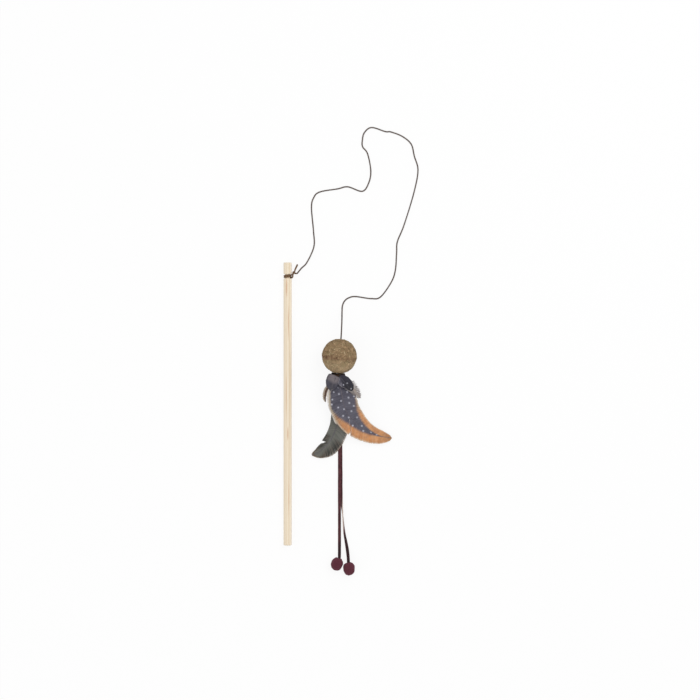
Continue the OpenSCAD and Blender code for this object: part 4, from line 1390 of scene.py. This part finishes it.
@dataclass
class FeltBall:
    """A needle-felted wool ball on a lace's end.

    Known fault: its values set no axis, so the tree strews none of the wool fibres that they describe.
    """

    name: str
    body: str
    middle: Point
    turn: float
    seed: int
    radius: float = 7.5
    stretch: float = 2.4
    shrink: float = 0.35
    lumps: float = 0.5
    rings: int = 40
    around: int = 72

    def way(self) -> Array:
        """The way that its lace comes in."""
        a = math.radians(self.turn)
        return np.array([math.sin(a), math.cos(a), 0.0])

    def surface(self, p: Vector) -> Vector:
        """Where the felted surface lies for a point of the plain shape, its lace along Z."""
        rise = self.lumps * noise.fractal(p * 0.22 + Vector((self.seed * 11, 0, 0)), 1.0, 2.0, 2)
        rise += 0.12 * noise.fractal(p * 0.9 + Vector((0, self.seed * 5, 0)), 0.8, 2.0, 2)
        # The lace pulls a dimple into the top
        high = self.radius + self.stretch / 2
        pull = 0.9 * math.exp(-(((p.x**2 + p.y**2) / 7.0) + (p.z - high) ** 2 / 6.0))
        return p * (1 + (min(rise, self.shrink) - self.shrink - pull) / self.radius)

    def build(self, strew: StrewTree, finish: Material) -> None:
        """Makes the ball."""
        arc = [math.pi / 2 - math.pi * k / self.rings for k in range(self.rings + 1)]
        profile = [
            (self.radius * math.cos(a), self.radius * math.sin(a) + math.copysign(self.stretch / 2, a)) for a in arc
        ]
        profile[0], profile[-1] = (0, profile[0][1]), (0, profile[-1][1])
        mesh = lathe(self.name, profile, self.around, False)
        stand(mesh, self.surface, self.way(), np.array(self.middle, float))
        values = {
            "Density": 1500000.0, "Length": 4.6, "Width": 0.065, "Thickness": 0.055, "Bend": 1.15, "Sink": 0.02,
            "Tilt": 0.12, "Segments": 5, "Seed": self.seed, "Material": finish,
        }
        settle(rest(grow(self.name, strew.tree, mesh, values)), self.body, "felt", "felt_ball_" + self.body[5:])


@dataclass
class Lace:
    """The suede lace: its fold in the binding and its two ends.

    The routes hold places and the strap's turn. A height of None lies on the table.
    """

    sweep: SweepTree
    width: float = 3.8
    thickness: float = 1.4
    leg_z: tuple[float, float] = (-2.2, -4.05)
    fold_back: float = 2.2
    tail: float = 7.65
    socket: float = 5.0
    squareness: float = 5.0
    around: int = 28
    left_route: tuple[Point, ...] = (
        (0.3, 41.5, 17, 0), (0.6, 37, 13.4, 0), (0.9, 32, 9.4, 0), (1.2, 27, 6.4, 0), (1.6, 20, 4, 0), (2, 10, 2.8, 0),
        (2.2, -5, 2.5, 0), (2.2, -30, 2.5, 0), (2.2, -60, 2.5, 0), (2.2, -85, 3.3, 0), (2.2, -103, 3.6, 0),
        (2.2, -118, 2.8, 0), (2.2, -133, 1, 0), (2.2, -147, 0.9, 0), (2.2, -157, 2.2, 0), (2.2, -164, 4.9, 0),
    )
    right_route: tuple[Point, ...] = (
        (0.4, 41.5, 13.9, 0), (0.8, 37, 9.8, 0), (1.2, 32, 6.9, 0), (1.6, 27, 3.9, 0), (2.1, 20, 2, 0), (2.6, 10, 1, 0),
        (3.2, -5, None, 0), (3.8, -30, None, 0), (4.1, -60, None, 0), (4.2, -85, None, 5), (4.6, -100, None, 40),
        (5.8, -113, None, 76), (6.5, -122, None, 92), (7.2, -131, None, 104), (8.5, -142, None, 120),
        (10.3, -152, None, 140), (11.7, -160, 2.6, 160), (12.8, -168.5, 5.2, 180),
    )

    def lie(self, turn: float) -> float:
        """Height of the strap's middle where it lies on the table, turned by an angle."""
        a = math.radians(turn)
        return self.width / 2 * abs(math.sin(a)) + self.thickness / 2 * abs(math.cos(a)) + 2 * LAY_GAP

    def strap(self, name: str, path: Array, sides: Array, girth: Array) -> Object:
        """Sweeps the strap's section along a path."""
        size = (self.width, self.thickness)
        return self.sweep.run(name, path, sides, girth, size, self.around, Suede().once(), self.squareness)

    def end(
        self, name: str, level: int, run: float, route: tuple[Point, ...], ball: FeltBall, end_turn: float
    ) -> None:
        """Makes one end of the lace, from the binding into its felt ball.

        Args:
            name: The piece's and the body's name.
            level: Which leg of the fold it goes on from.
            run: How far it runs on level from its seat.
            route: Its places and turns.
            ball: The felt ball on its end.
            end_turn: The strap's turn in the ball's socket.
        """
        start = KNOT_MIDDLE + np.array([0, -self.tail, self.leg_z[level]])
        laid = [(x, y, self.lie(turn) if z is None else z) for x, y, z, turn in route]
        half = ball.radius + ball.stretch / 2
        into = [np.array(ball.middle) + h * ball.way() for h in (half, half - self.socket / 2, half - self.socket)]
        turns = [0, 0, *[p[3] for p in route], *[end_turn] * 3]
        steps = 460
        path = curve(np.vstack([[start], [start - np.array([0, run, 0])], laid, into]), steps)
        angle = np.radians(curve([(a,) for a in turns], steps)[:, 0])
        head = [path[0] - self.width / 2 * math.sin(math.radians(a)) * ways(path)[0] for a in END_TURNS]
        whole = np.vstack([head, path])
        uneven = [1 + 0.05 * noise.noise(Vector((y / 9, level * 9.0, 0.5))) for y in path[:, 1]]
        t = ways(whole)
        flat = unit(np.cross(np.broadcast_to(UP, t.shape), t))
        sides = turned(flat, whole, np.concatenate([[0, 0, 0], angle]))
        lace = self.strap("suede_" + name, whole, sides, np.concatenate([END_GIRTHS, uneven]))
        settle(lace, name, "suede", name)
        tell_cord(lace, whole)

    def fold(self) -> None:
        """Makes the folded middle of the lace, inside the core."""
        upper, lower = self.leg_z
        r = (upper - lower) / 2
        centre = self.fold_back + r + self.thickness / 2
        turn = np.linspace(math.pi / 2, -math.pi / 2, 13)
        arc = [(0, -centre + r * math.cos(a), (upper + lower) / 2 + r * math.sin(a)) for a in turn]
        path = KNOT_MIDDLE + np.array([(0, CORE_FOOT, upper), *arc, (0, CORE_FOOT, lower)])
        sides = np.tile([1.0, 0, 0], (len(path), 1))
        settle(self.strap("suede_lace_fold", path, sides, np.ones(len(path))), "feathers", "suede", "lace_fold")

    def build(self, left: FeltBall, right: FeltBall) -> None:
        """Makes the fold and both ends."""
        self.fold()
        self.end("lace_left", 0, self.width / 2, self.left_route, left, 0)
        self.end("lace_right", 1, self.width / 4, self.right_route, right, 180)


def main() -> None:
    """Builds the pieces in order."""
    logging.basicConfig(level=logging.INFO, format="%(name)s %(message)s")
    sweep, barbs, strew = SweepTree(), BarbTree(), StrewTree()
    Studio().build()
    cord = Cord(sweep)
    cord.build()
    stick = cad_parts["stick"].data.materials
    stick.clear()
    stick.append(PineWood().once())
    FibreBall(strew).build()
    Binding(cord).build()
    Bunch(barbs, sweep).build()
    left = FeltBall("felt_ball_left_wool", "lace_left", (-0.9, -178.8, 7.5), 20, 1)
    right = FeltBall("felt_ball_right_wool", "lace_right", (14.1, -184.7, 7.5), -5, 2)
    Lace(sweep).build(left, right)
    felt = WoolFelt().once()
    left.build(strew, felt)
    right.build(strew, felt)


if __name__ == "__main__":
    main()
